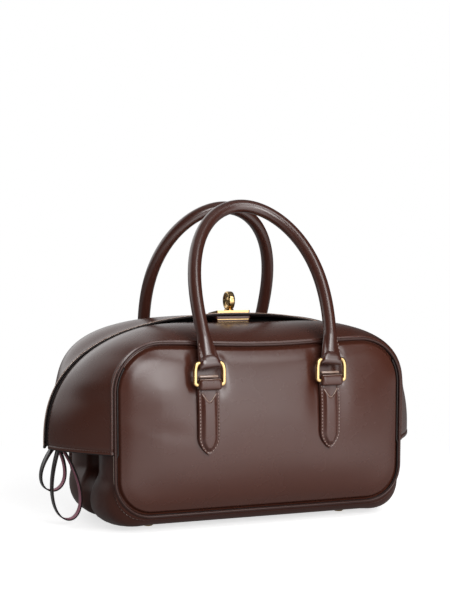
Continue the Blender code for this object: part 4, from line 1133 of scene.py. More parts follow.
def edge_distances(grid):
    """For each point of a top's grid, its distance from the lip, the seam and the nearer hem."""
    step = np.linalg.norm(np.diff(grid, axis=1), axis=2)
    from_lip = np.concatenate([np.zeros((len(grid), 1)), np.cumsum(step, axis=1)], axis=1)
    step = np.linalg.norm(np.diff(grid, axis=0), axis=2)
    from_left = np.concatenate([np.zeros((1, grid.shape[1])), np.cumsum(step, axis=0)])
    from_hem = np.minimum(from_left, from_left[-1:] - from_left)
    return from_lip, from_lip[:, -1:] - from_lip, from_hem


def top_relief(side, grid):
    """Height added to a top's plain surface: lip, hem, seam line and shallow waves."""
    from_lip, from_seam, from_hem = edge_distances(grid)
    if side == FRONT:
        height = -0.0022 * np.exp(-from_lip / 0.0020)
    else:
        height = 0.0022 * np.exp(-from_lip / 0.0050) + groove(from_lip, 0.0026, 0.0006, 0.0005)
    height += step_down(from_hem, 0.0024, 0.00040) + groove(from_hem, HEM_SEAM, 0.00050, 0.0005)
    height += groove(from_seam, 0.0, 0.0010, 0.0009)
    height += 0.0010 * hump(from_seam, 0.0021, 0.0007)
    fade = np.clip(from_lip / EVEN_BELOW, 0, 1) * np.clip(from_seam / EVEN_BELOW, 0, 1)
    fade = fade * np.clip(from_hem / EVEN_BELOW, 0, 1)
    height += 0.0007 * fade * waves(grid[:, :, 0] * 0.8, grid[:, :, 2] + grid[:, :, 1], 21 + side)
    return height


along = crowded(TOP_RUN, 0.0045, 0.0003, 170)
across = crowded(TOP_FALL, 0.0048, 0.0004, 44)
print("a top's grid has", len(along), "by", len(across), "points")

# %% Top skins


def make_top(side):
    plain = top_surface(side, along, across, CORD_RADIUS - 0.0002)
    normal = side * face_normals(plain)
    grid = plain + normal * top_relief(side, plain)[:, :, None]
    name = SIDES[side] + "_top_panel"
    finishes = [BODY_LEATHER, EDGE_PAINT, LINING]
    piece = skin(SIDES[side] + "_top_skin", grid, side, SKIN, finishes)
    dress(piece, "bag_body", name, name)
    lip = int(np.argmin(np.abs(across * TOP_FALL - LIP_SEAM)))
    hem = int(np.argmin(np.abs(along * TOP_RUN - HEM_SEAM)))
    raised = grid + normal * STITCH_STAND
    paths = [raised[hem:-hem, lip], raised[hem, lip:-6], raised[-1 - hem, lip:-6]]
    stitch(SIDES[side] + "_top_stitches", paths, "bag_body", name, DARK_THREAD)
    return piece


for side in SIDES:
    top = make_top(side)
    print(top.name, len(top.data.polygons), "faces")

# %% [markdown]
# ## Gusset
# One strip of leather makes the base and both ends. The base hangs a little below its seams. Each
# end has a deep inward pleat, so that the bag can open, between two soft lobes. Cloth simulation
# could fold the pleat, but stiff leather keeps the fold that it was pressed into, so the strip is
# one grid whose height over its seams says where it swells and where it folds in.

# %% The gusset's line and its folds
PLEAT_SHARE = 0.25
PLEAT_DEPTH = 0.0260
LOBE = 0.0050
CORNER_PUFF = 0.0120


def gusset_run():
    """The strip's middle line, from under the left hood round the base to the right one."""
    angle = np.linspace(radians(32.0), 0, 12)[:, None]
    ends = []
    for hand in HANDS:
        out_x = hand * np.cos(angle)
        x = hand * (HALF_LENGTH - TOP_CORNER) + TOP_CORNER * out_x
        z = SEAM_HIGH - TOP_CORNER + TOP_CORNER * np.sin(angle)
        high = np.concatenate([x, z, out_x, np.sin(angle)], axis=1)
        corner = arc(hand, False, 20)
        ends.append(np.concatenate([high, line(high[-1], corner[0], 34), corner]))
    left, right = ends
    return np.concatenate([left, line(left[-1], right[-1], 50), right[::-1]])


def gusset_lift(z, out_z, share):
    """How far the gusset stands out from its seams: belly, lobes, pleat and lower corners."""
    across = np.abs(share)
    round_corner = 2 * np.maximum(0, -out_z) * np.sqrt(np.maximum(0, 1 - out_z ** 2))
    in_pleat = 0.4 + 0.6 * smooth_step(across / PLEAT_SHARE)
    corner = CORNER_PUFF * round_corner ** 1.5 * in_pleat * (1 - across ** 4)
    base = BELLY * (1 - np.maximum(0.0, (across - 0.8) / 0.2) ** 2)
    lobe_share = (across - PLEAT_SHARE) / (1 - PLEAT_SHARE)
    lobe = LOBE * np.sin(pi * np.clip(lobe_share, 0, 1))
    depth = PLEAT_DEPTH * smooth_step((z - 0.0200) / 0.0340)
    pleat = -depth * np.clip(1 - across / PLEAT_SHARE, 0, 1) ** 0.8
    end = np.where(across > PLEAT_SHARE, lobe, pleat)
    part = smooth_step(-out_z)
    return (1 - part) * end + part * base + corner


print("gusset line", len(gusset_run()), "points")

# %% [markdown]
# Below the hems the gusset meets the piping in plain view, so there its edge turns up against the
# cord and a raised line runs beside it. Above the hems it hides inside the hoods.

# %% Gusset
SEAM_COLUMN = 7


def make_gusset():
    run = gusset_run()
    half = [np.linspace(0, 0.25, 9)[1:], np.linspace(0.25, 0.93, 20)[1:]]
    half = np.concatenate(half + [np.linspace(0.93, 1, 14)[1:]])
    share = np.concatenate([-half[::-1], [0.0], half])[None, :]
    back = HALF_DEPTH + swell(run[:, 0], run[:, 1]) - CORD_RADIUS + 0.0002
    lift = gusset_lift(run[:, 1:2], run[:, 3:4], share) - (LEATHER / 2 + GAP)
    from_seam = (1 - np.abs(share)) * back[:, None]
    below = 1 - smooth_step((run[:, 1:2] - HEM_HEIGHT + 0.0030) / 0.0030)
    lift = lift + below * 0.0014 * hump(from_seam, 0, 0.0012)
    lift = lift + below * 0.0021 * hump(from_seam, 0.0021, 0.0009)
    x = run[:, :1] + run[:, 2:3] * lift
    z = run[:, 1:2] + run[:, 3:4] * lift
    y = np.broadcast_to(share * back[:, None], x.shape)
    grid = np.stack([x, y, z], axis=2)
    piece = skin("gusset_skin", grid, -1, SKIN, [SHADED_GUSSET_LEATHER, EDGE_PAINT, LINING])
    dress(piece, "bag_body", "body_gusset", "body_gusset")
    out = -face_normals(grid)
    paths = []
    for column in (SEAM_COLUMN, grid.shape[1] - 1 - SEAM_COLUMN):
        raised = grid[:, column] + out[:, column] * 0.0001
        low = np.where(raised[:, 2] < HEM_HEIGHT - 0.002)[0]
        paths.append(raised[low[0]:low[-1] + 1])
    stitch("gusset_stitches", paths, "bag_body", "body_gusset", THREAD, 0.0036, 0.0026)
    return piece


gusset = make_gusset()
print(gusset.name, len(gusset.data.polygons), "faces")

# %% [markdown]
# ## Rings
# The handles hang on wire rings. Their lower corners are tight and their upper ones are long
# shoulders, so a ring looks like a horseshoe. A torus has neither, so the wire is a tube along a
# path of that shape. Its sides are pressed a little square, as on a cast ring.

# %% Rings
RING_LOW_BAR = 0.1394
RING_HEIGHT = 0.0198
RING_HALF_WIDTH = 0.0142
RING_CORNER = 0.0024
RING_SHOULDER = 0.0033
SHOULDER_FALL = 0.0075
WIRE_RADIUS = 0.0022
WIRE_SHOWN = WIRE_RADIUS - 0.0003
STRAP = 0.0025
EYE_RADIUS = WIRE_RADIUS + GAP + STRAP
BAR_DEPTH = float(panel_face(RING_X, RING_LOW_BAR)) + 2 * GAP + EYE_RADIUS


def ring_outline():
    """The ring's right half from its lower bar up, then mirrored."""
    angle = np.linspace(0, pi / 2, 11)
    low_x = RING_HALF_WIDTH - RING_CORNER + RING_CORNER * np.sin(angle)
    low = np.stack([low_x, RING_CORNER * (1 - np.cos(angle))], axis=1)
    high_x = RING_HALF_WIDTH - RING_SHOULDER + RING_SHOULDER * np.cos(angle)
    high = np.stack([high_x, RING_HEIGHT - SHOULDER_FALL * (1 - np.sin(angle))], axis=1)
    share = np.linspace(0, 1, 9)[:-1, None]
    start = np.array([0.0, 0.0])
    top = np.array([0.0, RING_HEIGHT])
    run = [start + (low[0] - start) * share, low, low[-1] + (high[0] - low[-1]) * share[1:], high]
    run.append((high[-1] + (top - high[-1]) * share)[1:])
    half = np.concatenate(run)
    other = half[::-1] * (-1, 1)
    return np.concatenate([half, top[None], other[:-1]])


outline = ring_outline()
squareness = 2 + 1.4 * smooth_step((np.abs(outline[:, 0]) - 0.0105) / 0.0020)
for side, hand, label in CORNERS:
    path = [(hand * RING_X + a, side * BAR_DEPTH, RING_LOW_BAR + b) for a, b in outline]
    name = label + "_ring"
    ring = tube(name + "_wire", path, (0, 1, 0), WIRE_SHOWN, GOLD, 32, True, squareness)
    dress(ring, name + "_body", name, name)
print("bar depth", round(BAR_DEPTH, 5))

# %% [markdown]
# ## Tabs on the panels
# Each ring is held by a tab that goes round its lower bar and is sewn to the panel. The tab ends in
# an arched point, its middle is padded as far as a V at the top, and its edge is turned. It lies on
# a curved panel, so its grid is laid over the panel's own formula instead of being bent afterwards.

# %% The shape of a tab
TAB_HALF = 0.0106
TAB_TIP = 0.0734
TAB_ARCH = 0.0170
TAB_EDGE = 0.0012
TAB_PAD = 0.0019
NOTCH_LOW = 0.1230
NOTCH_SLOPE = 1.55
NOTCH_BLUNT = 0.0022


def tab_width(z):
    share = np.clip((z - TAB_TIP) / TAB_ARCH, 0, 1)
    return TAB_HALF * np.maximum(0.03, np.sin(pi / 2 * share) ** 0.75)


def notch_height(a):
    """Height of the notch's edge at a distance from the tab's middle."""
    return NOTCH_LOW + NOTCH_SLOPE * (np.hypot(a, NOTCH_BLUNT) - NOTCH_BLUNT)


def tab_thickness(a, z, width):
    """Leather with a turned edge, a pad with a groove round it, and the notch's raised lip."""
    from_edge = np.minimum(width - np.abs(a), (z - TAB_TIP) * 0.8)
    edge = (1 - np.clip(from_edge / TAB_EDGE, 0, 1)) ** 2
    thick = LEATHER * np.sqrt(np.clip(1 - edge, 0, 1))
    notch = notch_height(a)
    padded = smooth_step((from_edge - 0.0030) / 0.0032) * smooth_step((notch - z) / 0.0012)
    thick = thick + TAB_PAD * padded * (1 + 0.2 * np.cos(pi * a / 0.012))
    thick = thick + groove(from_edge, 0.0027, 0.0006, 0.0007)
    thick = thick + 0.0003 * hump(from_edge, 0.0007, 0.0004)
    lip = hump(z - notch + 0.0004, 0, 0.0006) * smooth_step((0.0082 - np.abs(a)) / 0.001)
    return thick + 0.0009 * lip


print("tab width", 2 * TAB_HALF, "height", round(RING_LOW_BAR - TAB_TIP, 4))

# %% Tab
TAB_GRID = (120, 45)


def make_tab(side, hand, label):
    rows, columns = TAB_GRID
    t = np.linspace(0, 1, rows)
    z = TAB_TIP + 0.0002 + (RING_LOW_BAR - WIRE_RADIUS - TAB_TIP) * t ** 1.25
    width = tab_width(z)[:, None]
    a = np.sin(np.linspace(-pi / 2, pi / 2, columns))[None, :] * width
    z = np.broadcast_to(z[:, None], a.shape)
    x = hand * RING_X + a
    under = panel_face(x, z) + GAP
    flat = panel_face(hand * RING_X, z) + GAP
    y = np.maximum(flat, under) + tab_thickness(a, z, width)
    outer = np.stack([x, side * y, z], axis=2)
    inner = np.stack([x, side * under, z], axis=2)
    count = rows * columns
    points = list(outer.reshape(-1, 3)) + list(inner.reshape(-1, 3))
    run = [r * columns + c for r, c in border(rows, columns)]
    faces = quads(rows, columns) + quads(rows, columns, count)
    faces += [(p, q, q + count, p + count) for p, q in zip(run, run[1:] + run[:1])]
    tab = mesh_piece(label + "_tab", points, faces, [BODY_LEATHER])
    return dress(tab, "bag_body", label + "_chape", label + "_chape")


print("a tab's grid has", TAB_GRID[0], "by", TAB_GRID[1], "points")

# %% Roll round the ring's bar
ROLL_STEPS = 15
ROLL_SIDES = 48
ROLL_POWER = 3.2


def make_roll(side, hand, label):
    """The tab's own roll round the bar: a flat front, tight edges above and below, round ends."""
    x, y, z = hand * RING_X, side * BAR_DEPTH, RING_LOW_BAR
    half = TAB_HALF + 0.0003
    turn = np.linspace(0, 2 * pi, ROLL_SIDES + 1)[:-1]
    rows = []
    for step in np.linspace(-1, 1, ROLL_STEPS):
        near_end = np.clip((abs(step) - 0.88) / 0.12, 0, 1)
        size = (EYE_RADIUS + 0.0002) * (1 - 0.28 * (1 - sqrt(1 - min(1.0, near_end) ** 2)))
        deep = size * squared(np.cos(turn), ROLL_POWER)
        high = size * squared(np.sin(turn), ROLL_POWER)
        rows.append(np.stack([np.full(ROLL_SIDES, x + half * step), y + deep, z + high], axis=1))
    points = list(np.concatenate(rows)) + [(x - half, y, z), (x + half, y, z)]
    faces = quads(ROLL_STEPS, ROLL_SIDES, 0, True)
    last = (ROLL_STEPS - 1) * ROLL_SIDES
    for k in range(ROLL_SIDES):
        after = (k + 1) % ROLL_SIDES
        faces.append((after, k, len(points) - 2))
    for k in range(ROLL_SIDES):
        after = (k + 1) % ROLL_SIDES
        faces.append((last + k, last + after, len(points) - 1))
    roll = mesh_piece(label + "_tab_roll", points, faces, [BODY_LEATHER])
    return dress(roll, "bag_body", label + "_chape")


print("a roll has", ROLL_STEPS * ROLL_SIDES, "points round the bar")

# %% [markdown]
# Three light-coloured lines on the tab are painted highlights: a small second fold above the roll,
# a thin line along the roll's upper edge, and a line on the edge of the notch. They are thinner
# than the tab's grid can show, so they are thin bars of their own.

# %% Light lines
ACROSS = Matrix.Rotation(pi / 2, 3, "Y")
FOLD_HALF = [(0.0003, -0.0094), (0.0009, -0.0092), (0.0012, -0.0086)]
CREST_HALF = [(0.0001, -0.0103), (0.0004, -0.0100)]
CROSS_LINES = (
    # ending of the name, half of the profile, out from the ring's bar, up from it, sides
    ("_tab_fold", FOLD_HALF, -0.0022, 0.0072, 24),
    ("_tab_crest", CREST_HALF, 0.0030, 0.0047, 12),
)


def light_lines(side, hand, label):
    """Painted highlights: two light bars across the roll, and a light tube on the notch's edge."""
    for ending, half, out, up, sides in CROSS_LINES:
        place = (hand * RING_X, side * (BAR_DEPTH + out), RING_LOW_BAR + up)
        bar = turned(label + ending, both_ways(half), place, ACROSS, EDGE_HIGHLIGHT, sides)
        dress(bar, "bag_body", label + "_chape")
    at = np.linspace(-0.0070, 0.0070, 33)
    high = notch_height(at)
    deep = np.maximum(panel_face(hand * RING_X, high), panel_face(hand * RING_X + at, high))
    deep = side * (deep + GAP + LEATHER + 0.0008)
    path = np.stack([hand * RING_X + at, deep, high], axis=1)
    edge = tube(label + "_tab_notch_highlight", path, (0, 1, 0), 0.00045, EDGE_HIGHLIGHT, 8)
    dress(edge, "bag_body", label + "_chape")


print("lines across each roll", len(CROSS_LINES))

# %% The four tabs


def tab_stitches(side, hand, label):
    """One line of stitches down one edge of the tab, round its point and up the other edge."""
    edges = []
    for sign in (-1, 1):
        run = []
        for height in np.linspace(0.1335, TAB_TIP + 0.0030, 40):
            x = hand * RING_X + sign * (tab_width(height) - 0.0016)
            depth = max(float(panel_face(x, height)), float(panel_face(hand * RING_X, height)))
            run.append((x, side * (depth + GAP + LEATHER + 0.00010), height))
        edges.append(run)
    path = edges[0] + edges[1][::-1]
    name = label + "_tab_stitches"
    stitch(name, [path], "bag_body", label + "_chape", THREAD, 0.0031, 0.0020, 0.0008)


for corner in CORNERS:
    tab = make_tab(*corner)
    make_roll(*corner)
    light_lines(*corner)
    tab_stitches(*corner)
    print(tab.name, len(tab.data.polygons), "faces")

# %% [markdown]
# ## Handles
# A handle is a cord rolled tightly in leather. At each foot the leather flares into a flat tab that
# goes round the ring's upper bar; the turned end of that tab stands out as a little arch. A curve
# with a bevel would do for the arch of the handle, but not for its feet, so every section is worked
# out: a round core on a flat flange above, a rolled end below, and a soft change between them.

# %% The line of a handle
HANDLE_RADIUS = 0.00625
HANDLE_RISE = 0.1460
HANDLE_POWER = 3.7
HANDLE_BOW = 0.0055
LEAN = 0.31
LEAN_OVER_TOP = 0.18
UPPER_BAR = RING_LOW_BAR + RING_HEIGHT


def handle_centre(side, rise):
    """The middle of the handle's left half at a height over the ring's upper bar."""
    share = min(1.0, max(0.0, rise / HANDLE_RISE))
    bow = HANDLE_BOW * sin(pi * share)
    x = RING_X * sqrt(max(0.0, 1 - share ** HANDLE_POWER)) + bow
    inward = LEAN * rise + LEAN_OVER_TOP * HANDLE_RISE * share ** 2
    return np.array([-x, side * (BAR_DEPTH - inward), UPPER_BAR + rise])


print("top of a handle's core", handle_centre(FRONT, HANDLE_RISE).round(4))

# %% Sections of a handle
FLARE_TOP = 0.0290
FLARE_FOOT = 0.0030
FOOT_HALF = 0.0105
FOOT_CORE = 0.0040
FLANGE = 0.0024
GRIP_FLANGE = 0.0026
HALF_SIDES = 32
half_turn = np.linspace(0, pi, HALF_SIDES + 1)[:-1]
ROUND_TURN = np.concatenate([half_turn, np.linspace(pi, 2 * pi, HALF_SIDES + 1)[:-1]])
SHARE = np.cos(ROUND_TURN)
FACE = np.sign(np.sin(ROUND_TURN) + 1e-9)


def lay_section(centre, along, offset, depth):
    """Sets a section's points square to the handle."""
    across = unit(np.cross((0, 1, 0), along))
    deep = unit(np.cross(along, across))
    return centre + offset[:, None] * across + depth[:, None] * deep


def section(centre, along, half_width, core, flange):
    """A round core lying on a flat flange as wide as the foot."""
    offset = SHARE * half_width
    over_core = core * np.sqrt(np.clip(1 - (offset / max(core, HANDLE_RADIUS)) ** 2, 0, 1))
    over_flange = flange * np.sqrt(np.clip(1 - SHARE ** 6, 0, 1))
    return lay_section(centre, along, offset, (over_core ** 5 + over_flange ** 5) ** 0.2 * FACE)


def foot_section(centre, along, half_depth):
    """A section of the rolled tab end: wide, with nearly square sides."""
    depth = half_depth * np.clip(1 - np.abs(SHARE) ** 5, 0, 1) ** 0.5 * FACE
    return lay_section(centre, along, SHARE * FOOT_HALF, depth)


def flare(height):
    """Half width of the foot and thickness of its core at a height over the bar."""
    straight = (height - FLARE_FOOT) / (FLARE_TOP - FLARE_FOOT)
    part = float(smooth_step(straight)) * 0.6
    part += 0.4 * min(1.0, max(0.0, straight))
    width = FOOT_HALF - 0.0006 + (HANDLE_RADIUS - FOOT_HALF + 0.0006) * part
    return width, FOOT_CORE + (HANDLE_RADIUS - FOOT_CORE) * min(1.0, part * 1.15)


print("a foot is", 2 * FOOT_HALF, "m wide, the handle", 2 * HANDLE_RADIUS)

# %% Feet of a handle
ARCH_LOW = -0.0027
ARCH_RISE = 0.0097
ARCH_OVER = 0.0032
ARCH_EDGE = 0.00016
END_PUFF = 0.0003
END_DROPS = (0.995, 0.97, 0.92, 0.84, 0.72, 0.58, 0.42, 0.22, 0.0)


def handle_foot(base, along):
    """Sections from the underside of the rolled end up to the handle's round part."""
    leg = []
    for drop in END_DROPS:
        centre = base - along * EYE_RADIUS * drop
        leg.append(foot_section(centre, along, EYE_RADIUS * sqrt(1 - drop ** 2)))
    arch = ARCH_LOW + ARCH_RISE * np.sqrt(np.clip(1 - SHARE ** 2, 0, 1))
    heights = [np.linspace(0.0003, 0.0085, 36), np.linspace(0.0088, FLARE_TOP, 32)[:-1]]
    for height in np.concatenate(heights):
        centre = base + along * height
        width, core = flare(height)
        plain = section(centre, along, width, core, FLANGE)
        puff = EYE_RADIUS + END_PUFF * float(smooth_step(height / 0.0025))
        thinner = 1 - (height / np.maximum(arch + ARCH_OVER, 0.0001)) ** 2
        end = foot_section(centre, along, puff * np.sqrt(np.clip(thinner, 0.25, 1)))
        covered = 1 / (1 + np.exp(np.clip((height - arch) / ARCH_EDGE, -40, 40)))
        leg.append(plain + (end - plain) * covered[:, None])
    return leg


def foot_stitches(side, base, along):
    """Paths of the short seams beside each foot, near both edges of its flange."""
    paths = []
    outward = np.array([0, side, 0.0])
    for hand in HANDS:
        for edge in (-1, 1):
            run = []
            for height in np.linspace(0.0075, 0.0180, 12):
                width = flare(height)[0]
                centre = base + along * height
                point = centre + np.array([edge * width * 0.86, 0, 0]) + outward * (FLANGE * 0.85)
                run.append(point * (-hand, 1, 1))
            paths.append(run)
    return paths


print("sections of a rolled end", len(END_DROPS))

# %% Handles
GRIP_SECTIONS = 150


def make_handle(side):
    base = handle_centre(side, 0.0)
    along = unit(handle_centre(side, FLARE_TOP) - base)
    leg = handle_foot(base, along)
    rises = [FLARE_TOP + (HANDLE_RISE - FLARE_TOP) * sin(pi / 2 * k / 200) for k in range(201)]
    left = np.array([handle_centre(side, rise) for rise in rises])
    fine = np.concatenate([left, (left[:-1] * (-1, 1, 1))[::-1]])
    length = run_length(fine)
    path = read_run(fine, length, np.linspace(0, length[-1], GRIP_SECTIONS))
    tangent = unit(np.gradient(path, axis=0))
    grip = (HANDLE_RADIUS, HANDLE_RADIUS, GRIP_FLANGE)
    rows = leg + [section(centre, way, *grip) for centre, way in zip(path, tangent)]
    rows = np.array(rows + [ring * (-1, 1, 1) for ring in leg[::-1]])
    faces = closed_ends(*rows.shape[:2])
    name = SIDES[side] + "_handle"
    piece = mesh_piece(name + "_roll", list(rows.reshape(-1, 3)), faces, [GRIP_LEATHER])
    dress(piece, name + "_body", name, name)
    paths = foot_stitches(side, base, along)
    stitch(name + "_stitches", paths, name + "_body", name, THREAD, 0.0028)
    return piece


for side in SIDES:
    handle = make_handle(side)
    print(handle.name, len(handle.data.polygons), "faces")

# %% [markdown]
# ## Feet
# Four small domed studs keep the leather off the floor. Each is turned from a bar with a pin on
# top, which passes through the gusset and the base board and is spread above them. A turned profile
# is the same job in the model.

# %% Feet
UPRIGHT = Matrix.Identity(3)
BASE_TOP = SEAM_LOW - BELLY + LEATHER / 2
FOOT_X = 0.1020
FOOT_Y = 0.0330
PIN = 0.0016
PIN_TOP = 0.0118
foot_profile = [(0.0034, 0.0), (0.0040, 0.00015), (0.0049, 0.0010), (0.0054, 0.0022)]
foot_profile += [(0.0055, 0.0034), (0.0052, 0.0046), (0.0047, 0.0052), (0.0046, BASE_TOP)]
foot_profile += [(PIN, BASE_TOP), (PIN, PIN_TOP), (0.0034, PIN_TOP), (0.0032, 0.0125)]
foot_profile += [(0.0020, 0.0127)]
for side, hand, label in CORNERS:
    name = label + "_foot"
    place = (hand * FOOT_X, side * FOOT_Y, 0)
    foot = turned(name + "_stud", foot_profile, place, UPRIGHT, GOLD, 40)
    dress(foot, "bag_body", name, name)
print("feet at", FOOT_X, FOOT_Y)

# %% [markdown]
# ## The turn lock
# The lock is a stack. A leather tongue of the front panel carries a thin base plate with a boss;
# the rear lip lies over it between a backing plate and the cap, which is a wedge with a deep front
# edge; and pads of leather fill the spaces. All of them have a slot for the knob's boss. A slot can
# be cut with a Boolean modifier, but filling between two outlines gives cleaner edges, and these
# are then bevelled, because light along the edges is what makes thin metal read as metal.

# %% Outlines of the lock
LOCK_Y = 0.0110
LOCK_HALF = 0.0180
LOCK_FRONT = -0.0010
LOCK_REAR = 0.0230
CAP_SLOT = (0.0102, 0.0033)
BOSS_SLOT = (0.0019, 0.0018)


def rounded(half_a, half_b, corner, steps=10, straight=6):
    """A closed rounded rectangle with points along its straight sides too."""
    signs = ((1, 1), (-1, 1), (-1, -1), (1, -1))

    def corner_point(quarter, share):
        sign_a, sign_b = signs[quarter % 4]
        angle = pi / 2 * (quarter + share)
        a = sign_a * (half_a - corner) + corner * cos(angle)
        return a, sign_b * (half_b - corner) + corner * sin(angle)

    points = []
    for quarter in range(4):
        points += [corner_point(quarter, k / steps) for k in range(steps + 1)]
        (a, b), (next_a, next_b) = points[-1], corner_point(quarter + 1, 0)
        for k in range(1, straight):
            share = k / straight
            points.append((a + (next_a - a) * share, b + (next_b - b) * share))
    return points


def slot_outline(half_length, half_width, steps=16):
    """A slot with round ends, along X at the lock's place."""
    points = []
    for hand in (1, -1):
        for k in range(steps + 1):
            angle = -pi / 2 + pi * k / steps
            a = hand * (half_length - half_width + half_width * cos(angle))
            points.append((a, LOCK_Y + hand * half_width * sin(angle)))
    return points


print("slot of the cap", 2 * CAP_SLOT[0], "by", 2 * CAP_SLOT[1])

# %% A plate with a slot


def slotted_plate(name, outline, low, tops, slot_size, material):
    """A plate with a slot: side walls, a top that may slope, and the slot's wall."""
    build = bmesh.new()
    loops = []
    for ring in (outline, slot_outline(*slot_size)):
        loops.append([build.verts.new((a, b, low)) for a, b in ring])
        loops.append([build.verts.new((a, b, low + tops(b))) for a, b in ring])
    for low_ring, high_ring in (loops[:2], loops[2:]):
        count = len(low_ring)
        for k in range(count):
            after = (k + 1) % count
            build.faces.new((low_ring[k], low_ring[after], high_ring[after], high_ring[k]))
    for outer, inner in ((loops[0], loops[2]), (loops[1], loops[3])):
        edges = []
        for ring in (outer, inner):
            for k in range(len(ring)):
                pair = (ring[k], ring[(k + 1) % len(ring)])
                edges.append(build.edges.get(pair) or build.edges.new(pair))
        bmesh.ops.triangle_fill(build, use_beauty=True, edges=edges)
    bmesh.ops.recalc_face_normals(build, faces=build.faces)
    mesh = bpy.data.meshes.new(name)
    build.to_mesh(mesh)
    build.free()
    mesh.materials.append(material)
    return crease_edges(put(name, mesh), 0.00035, 3)


print("helpers made:", slotted_plate.__name__)

# %% Stack of the lock
PLATE = 0.0007
CAP_DEEP = 0.0041
CAP_THIN = 0.0008
BOSS = (0.0099, 0.0030)


def heights(name):
    """Lowest and highest point of a node of the frame."""
    return [corner.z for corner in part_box(name)]


def moved(outline, shift):
    return [(a, b + shift) for a, b in outline]


def cap_height(y):
    return CAP_DEEP + (CAP_THIN - CAP_DEEP) * (y - LOCK_FRONT) / (LOCK_REAR - LOCK_FRONT)


def even(thickness):
    return lambda y: thickness


base_low, boss_top = heights("lock_base")
back_high = heights("lock_backing_plate")[1]
cap_low, cap_high = heights("lock_cap")
plate = rounded(LOCK_HALF, (LOCK_REAR - LOCK_FRONT) / 2, 0.0016, 6, 4)
plate = moved(plate, (LOCK_FRONT + LOCK_REAR) / 2)
tongue = moved(rounded(0.0190, 0.01625, 0.0030, 6, 4), 0.00775)
base_pad = [(a * 0.965, (b - LOCK_Y) * 0.94 + LOCK_Y) for a, b in plate]
base_pad_low = base_low + PLATE
base_pad_tops = even(back_high - PLATE - GAP - base_pad_low)
lip_pad = moved(rounded(0.0185, 0.0125, 0.0020, 6, 4), 0.0112)
boss_low = base_low + 0.0006
LOCK_STACK = (
    # name, outline, underside, height at y, slot, material, slot in the frame, nodes replaced
    ("lock_tongue", tongue, base_low - GAP - LEATHER, even(LEATHER), (0.0032, 0.0031),
     BODY_LEATHER, "front_top_panel", ()),
    ("lock_cap_plate", plate, cap_low, cap_height, CAP_SLOT, GOLD, "lock_cap", ("lock_cap",)),
    ("lock_back_plate", plate, back_high - PLATE, even(PLATE), CAP_SLOT, GOLD,
     "lock_backing_plate", ("lock_backing_plate",)),
    ("lock_base_pad", base_pad, base_pad_low, base_pad_tops, CAP_SLOT, BODY_LEATHER,
     "lock_base", ()),
    ("lock_lip_pad", lip_pad, back_high + GAP, even(LEATHER), CAP_SLOT, BODY_LEATHER,
     "rear_top_panel", ()),
    ("lock_base_plate", plate, base_low, even(PLATE), BOSS_SLOT, GOLD, "lock_base", ("lock_base",)),
    ("lock_boss", slot_outline(*BOSS), boss_low, even(boss_top - base_low - 0.0006), BOSS_SLOT,
     GOLD, "lock_base", ()),
)
for *shape, slot, nodes in LOCK_STACK:
    piece = dress(slotted_plate(*shape), "bag_body", slot, *nodes)
    print(piece.name, len(piece.data.polygons), "faces")
print("cap from", round(cap_low, 4), "to", round(cap_high, 4))

# %% [markdown]
# The knob is a thick disc with a dished face on a round foot, and it stands upright on a stem that
# passes through the slot. Half of the disc's profile is enough, because its two faces are alike.

# %% Knob
KNOB_RADIUS = 0.0093
RIM = 0.0033
STEM = 0.0015
STEM_HEAD = 0.0028
NECK = 0.0026
COLLAR = 0.0048
KNOB_FACE = (
    # radius, depth below the rim
    (0.0004, 0.0009), (0.0014, 0.0009), (0.0022, 0.0011), (0.0030, 0.0017), (0.0040, 0.0019),
    (0.0052, 0.0017), (0.0062, 0.0011), (0.0068, 0.0004), (0.0071, 0.0001), (0.0074, 0.0),
    (0.0084, 0.0001), (0.0089, 0.0004), (0.0092, 0.0010), (KNOB_RADIUS, 0.0018),
)
knob_low, knob_high = heights("lock_knob")
centre = Vector((0.0, LOCK_Y, knob_high - KNOB_RADIUS))
half_profile = [(radius, RIM - depth) for radius, depth in KNOB_FACE] + [(KNOB_RADIUS, 0.0005)]
disc = turned("knob_disc", both_ways(half_profile), centre, ACROSS, GOLD, 96)
dress(disc, "lock_knob_body", "lock_knob", "lock_knob")
collar = centre.z - KNOB_RADIUS - 0.0006
head_top = knob_low + 0.0021
neck_low = boss_top + 0.0003
stem_profile = [(STEM_HEAD, knob_low), (STEM_HEAD, head_top), (STEM, head_top), (STEM, neck_low)]
stem_profile += [(NECK, neck_low), (NECK, collar), (0.0046, collar), (COLLAR, collar + 0.0002)]
stem_profile += [(COLLAR, collar + 0.0009), (0.0045, collar + 0.0013), (0.0040, collar + 0.0016)]
stem = turned("knob_stem_turned", stem_profile, (0.0, LOCK_Y, 0.0), UPRIGHT, GOLD, 36)
dress(stem, "lock_knob_body", "lock_knob")
print("knob centre", tuple(round(v, 4) for v in centre))

# %% [markdown]
# ## Zip teeth
# Behind the lips a zip closes the bag and runs down into the left hood. Its teeth repeat, so a
# second tree of the same kind sets one small block at even steps, and two runs of it interlock.

# %% Zip teeth
ZIP_DROP = 0.0128
ZIP_END = 0.1010
ZIP_POINTS = 400
TOOTH_PITCH = 0.0026
TOOTH = (0.0021, 0.0026, 0.0012)
tooth_inputs = [("Pitch", "Float", TOOTH_PITCH), ("Tooth Size", "Vector", TOOTH)]
teeth, teeth_in, teeth_place = row_tree("row_of_teeth", tooth_inputs, smooth=False)
tooth = node(teeth, "GeometryNodeMeshCube", {"Size": teeth_in.outputs["Tooth Size"]})
feed(teeth, teeth_place.inputs["Instance"], tooth.outputs["Mesh"])


def under_ridge(ridge, drop):
    """The zip's line below the ridge: its x and z."""
    return ridge[:, 0] - ridge[:, 2] * drop, ridge[:, 1] - ridge[:, 3] * drop


